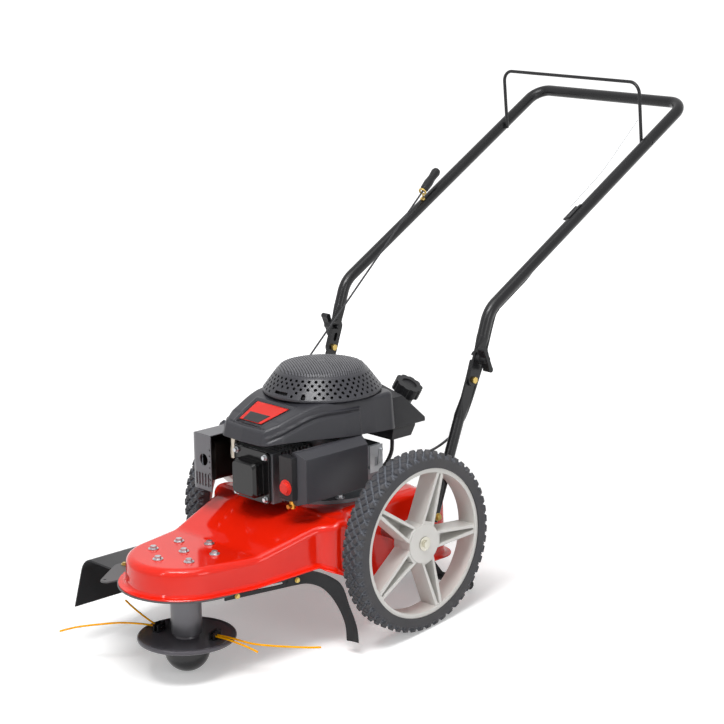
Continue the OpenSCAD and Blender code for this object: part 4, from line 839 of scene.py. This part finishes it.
def tread_surface(grooves, depth):
    """Tyre about the axle as width, radius and turn, with the depth of its tread. Two families of grooves,
    each N to the turn, run at 45 degrees: with the turn t and the width x the two phases are
    N t / 2 pi + x / pitch and N t / 2 pi - x / pitch, and a groove lies at each whole phase. Grooves go in
    square to the section and fade out below the shoulder."""
    section = tyre_section()
    slope = np.gradient(section, axis=0)
    slope /= np.linalg.norm(slope, axis=1, keepdims=True)
    inward = np.stack([-slope[:, 1], slope[:, 0]], -1)
    t = np.linspace(0, 2 * np.pi, 24 * grooves, endpoint=False)[:, None]
    x, r = section[None, :, 0], section[None, :, 1]
    count = grooves * t / (2 * np.pi)
    phase = np.stack([count + x / TREAD_PITCH, count - x / TREAD_PITCH])
    off = np.abs(phase - np.round(phase)).min(0) * TREAD_PITCH * math.sqrt(0.5)
    cut = ease((GROOVE_TOP - off) / (GROOVE_TOP - GROOVE_FLOOR))
    deep = depth * cut * ease((r - (WHEEL_R - TYRE_SHOULDER - 2)) / 4)
    across, up = (section[None] + deep[..., None] * inward[None]).transpose(2, 0, 1)
    return across, up, t, deep


class TRIMMER_OT_wheels(bpy.types.Operator):
    """Tyres with their diamond tread, and the finish of the rims"""
    bl_idname = "trimmer.wheels"
    bl_label = "Wheels"

    def execute(self, context):
        size, colour = context.scene.trimmer_sizes, context.scene.trimmer_colours
        # Vulcanised rubber: dark grey, matt, a little dusty
        rubber = finish("vulcanised_tyre_rubber", colour.tyre, "#4d4a48", 45, (0.5, 0.68), 1.2, 0.08,
                        shine=0.35)
        # Painted highlight: the grooves are paler, by the depth that the mesh carries as its groove attribute
        groove = add(rubber.node_tree, "ShaderNodeAttribute", attribute_name="groove")
        shaded(rubber, groove.outputs["Fac"], "#5c5f66")
        across, up, t, deep = tread_surface(size.tread_grooves, size.tread_depth)
        y, z = WHEEL_BASE + up * np.cos(t), AXLE_H + up * np.sin(t)
        for side, name in ((-1, "left"), (1, "right")):
            grid = standing(np.stack([across + side * HALF_TRACK, y, z], -1))
            tyre = mesh_piece(f"{name}_tyre_tread", grid, rubber, loop_u=True, loop_v=True, sharp=38)
            # Painted highlight: each point's share of the paler groove colour, from its groove depth
            groove_highlight = tyre.data.attributes.new("groove", "FLOAT", "POINT")
            groove_highlight.data.foreach_set("value", (deep / size.tread_depth).ravel())
            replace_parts(tyre, f"{name}_tyre")
            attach(tyre, f"{name}_wheel")
        # Moulded polypropylene: light grey, satin
        dress(finish("moulded_polypropylene_grey", colour.rim, "#d2d0cb", 80, (0.34, 0.46), 1.1, 0.03,
                     bevel_mm=2.0), "left_rim", "right_rim")
        return {"FINISHED"}


class TRIMMER_OT_handle(bpy.types.Operator):
    """Finish of the tubes, brackets and the bail"""
    bl_idname = "trimmer.handle"
    bl_label = "Handle"

    def execute(self, context):
        # Satin powder coat on steel tube: black, faint orange peel
        dress(finish("satin_powder_coat_black", context.scene.trimmer_colours.handle, "#1d1d1f", 70,
                     (0.22, 0.32), 1.8, 0.03, shine=0.35, bevel_mm=1.2),
              "lower_handle_left", "lower_handle_right", "upper_handle", "handle_brackets", "bail")
        return {"FINISHED"}


class TRIMMER_OT_metal(bpy.types.Operator):
    """Finishes of the bolts, shafts and bare steel"""
    bl_idname = "trimmer.metal"
    bl_label = "Bolts and shafts"

    def execute(self, context):
        # Zinc-plated steel: bright grey
        dress(finish("zinc_plated_steel", "#c9cccf", "#aeb2b6", 14, (0.26, 0.4), 0.8, 0.02, metallic=1.0,
                     bevel_mm=0.6), "spindle_bolts", "engine_bolts", "control_bracket", "brake_lever")
        # Yellow zinc passivated steel: straw yellow
        dress(finish("yellow_zinc_steel", "#c7ad66", "#a9925c", 10, (0.28, 0.42), 0.8, 0.02, metallic=1.0,
                     bevel_mm=0.5), "handle_bolts", "shield_screws", "rope_guide")
        # Clear zinc with a pale yellow cast
        dress(finish("pale_zinc_steel", "#cfccbf", "#b3b0a4", 10, (0.24, 0.36), 0.8, 0.02, metallic=1.0,
                     bevel_mm=0.5), "hub_bolts")
        # Turned steel: plain grey
        dress(finish("turned_steel", "#a9acb0", "#8e9195", 16, (0.3, 0.44), 0.6, 0.02, metallic=1.0),
              "axle", "crankshaft", "spindle_shaft", "spindle_bearings")
        return {"FINISHED"}


def seen_rays(tree):
    """1 for camera rays, straight or by mirror and glass, and 0 for the rays that light the part."""
    path = add(tree, "ShaderNodeLightPath")
    seen = path.outputs["Is Camera Ray"]
    for ray in ("Is Glossy Ray", "Is Transmission Ray"):
        either = add(tree, "ShaderNodeMath", None, {0: seen, 1: path.outputs[ray]}, operation="MAXIMUM")
        seen = either.outputs[0]
    return seen


def studio_floor(near_lift, far_lift):
    """Square floor whose glow grows from the near lift to the far one away from the part."""
    # Matt white studio sweep: keeps the shadow, and is lifted to white only for what the camera sees
    mat = bpy.data.materials.new("matt_studio_floor")
    mat.use_nodes = True
    tree = mat.node_tree
    tree.nodes.clear()
    diffuse = add(tree, "ShaderNodeBsdfDiffuse", {"Color": (0.86, 0.86, 0.86, 1)})
    place = add(tree, "ShaderNodeTexCoord").outputs["Object"]
    reach = add(tree, "ShaderNodeVectorMath", None, {0: place}, operation="LENGTH")
    lift = add(tree, "ShaderNodeMapRange",
               {"From Min": LIFT_SPAN[0], "From Max": LIFT_SPAN[1], "To Min": near_lift, "To Max": far_lift},
               {"Value": reach.outputs["Value"]}, interpolation_type="SMOOTHSTEP")
    shown = add(tree, "ShaderNodeMath", None, {0: lift.outputs["Result"], 1: seen_rays(tree)},
                operation="MULTIPLY")
    glow = add(tree, "ShaderNodeEmission", {"Color": (1, 1, 1, 1)}, {"Strength": shown.outputs[0]})
    both = add(tree, "ShaderNodeAddShader", None, {0: diffuse.outputs[0], 1: glow.outputs[0]})
    add(tree, "ShaderNodeOutputMaterial", None, {"Surface": both.outputs[0]})
    x, y = np.meshgrid((-FLOOR_HALF, FLOOR_HALF), (-FLOOR_HALF, FLOOR_HALF), indexing="ij")
    mesh_piece("studio_floor", np.stack([x, y, 0 * x], -1), mat)


def studio_world(scene, fill):
    """White surroundings for the camera and for mirrors, and an even light of strength fill on the part."""
    scene.world = scene.world or bpy.data.worlds.new("studio")
    scene.world.use_nodes = True
    tree = scene.world.node_tree
    tree.nodes.clear()
    level = add(tree, "ShaderNodeMapRange", {"To Min": fill, "To Max": 1.0}, {"Value": seen_rays(tree)})
    back = add(tree, "ShaderNodeBackground", {"Color": (1, 1, 1, 1)}, {"Strength": level.outputs["Result"]})
    add(tree, "ShaderNodeOutputWorld", None, {"Surface": back.outputs[0]})


def studio_lamp(scene, name, place, aim, power, wide, tall):
    """Rectangular lamp at a place in metres that faces its aim."""
    lamp = bpy.data.lights.new(name, "AREA")
    lamp.shape, lamp.energy, lamp.size, lamp.size_y = "RECTANGLE", power, wide, tall
    obj = bpy.data.objects.new(name, lamp)
    d = np.subtract(place, aim)
    obj.location = place
    obj.rotation_euler = (math.atan2(math.hypot(d[0], d[1]), d[2]), 0, math.atan2(d[0], -d[1]))
    scene.collection.objects.link(obj)


def studio_camera(scene, lens):
    """Camera that looks along its azimuth, down by its elevation, and is rolled about that line."""
    camera = bpy.data.objects.new("camera", bpy.data.cameras.new("camera"))
    az, el, roll = np.radians(CAMERA_TURN)
    ahead = np.array([-math.sin(az) * math.cos(el), math.cos(az) * math.cos(el), -math.sin(el)])
    level = np.array([math.cos(az), math.sin(az), 0])
    over = np.cross(level, ahead)
    right = level * math.cos(roll) + over * math.sin(roll)
    up = over * math.cos(roll) - level * math.sin(roll)
    m = np.eye(4)
    m[:3, :3] = np.column_stack([right, up, -ahead])
    m[:3, 3] = CAMERA_AT
    camera.matrix_world = m.T.tolist()
    camera.data.lens, camera.data.sensor_width = lens, SENSOR_MM
    scene.collection.objects.link(camera)
    scene.camera = camera


class TRIMMER_OT_stage(bpy.types.Operator):
    """Pale floor, white surroundings, soft light from above and the camera"""
    bl_idname = "trimmer.stage"
    bl_label = "Studio"

    def execute(self, context):
        scene, stage = context.scene, context.scene.trimmer_stage
        studio_floor(stage.floor_lift, stage.far_lift)
        studio_world(scene, stage.fill)
        for name, place, aim, share, wide, tall in LAMPS:
            studio_lamp(scene, name, place, aim, share * stage.key_power, wide, tall)
        studio_camera(scene, stage.lens)
        scene.view_settings.view_transform = "Standard"
        return {"FINISHED"}


class TRIMMER_PT_panel(bpy.types.Panel):
    """Lists the pieces of the trimmer and its settings"""
    bl_idname = "TRIMMER_PT_panel"
    bl_label = "String trimmer"
    bl_space_type = "VIEW_3D"
    bl_region_type = "UI"
    bl_category = "Trimmer"

    def draw(self, context):
        for op in OPERATORS:
            self.layout.operator(op.bl_idname)
        for name in GROUPS:
            group, box = getattr(context.scene, name), self.layout.box()
            for key in group.bl_rna.properties.keys():
                if key not in {"rna_type", "name"}:
                    box.prop(group, key)


OPERATORS = (TRIMMER_OT_stage, TRIMMER_OT_cords, TRIMMER_OT_deck, TRIMMER_OT_engine, TRIMMER_OT_wheels,
             TRIMMER_OT_handle, TRIMMER_OT_metal)
GROUPS = {"trimmer_sizes": TrimmerSizes, "trimmer_colours": TrimmerColours, "trimmer_stage": TrimmerStage}
CLASSES = (*GROUPS.values(), *OPERATORS, TRIMMER_PT_panel)


def register():
    for cls in CLASSES:
        bpy.utils.register_class(cls)
    for name, group in GROUPS.items():
        setattr(bpy.types.Scene, name, bpy.props.PointerProperty(type=group))


def unregister():
    for name in GROUPS:
        delattr(bpy.types.Scene, name)
    for cls in reversed(CLASSES):
        bpy.utils.unregister_class(cls)


def main():
    register()
    bpy.ops.trimmer.stage()
    bpy.ops.trimmer.cords()
    bpy.ops.trimmer.deck()
    bpy.ops.trimmer.engine()
    bpy.ops.trimmer.wheels()
    bpy.ops.trimmer.handle()
    bpy.ops.trimmer.metal()


if __name__ == "__main__":
    main()
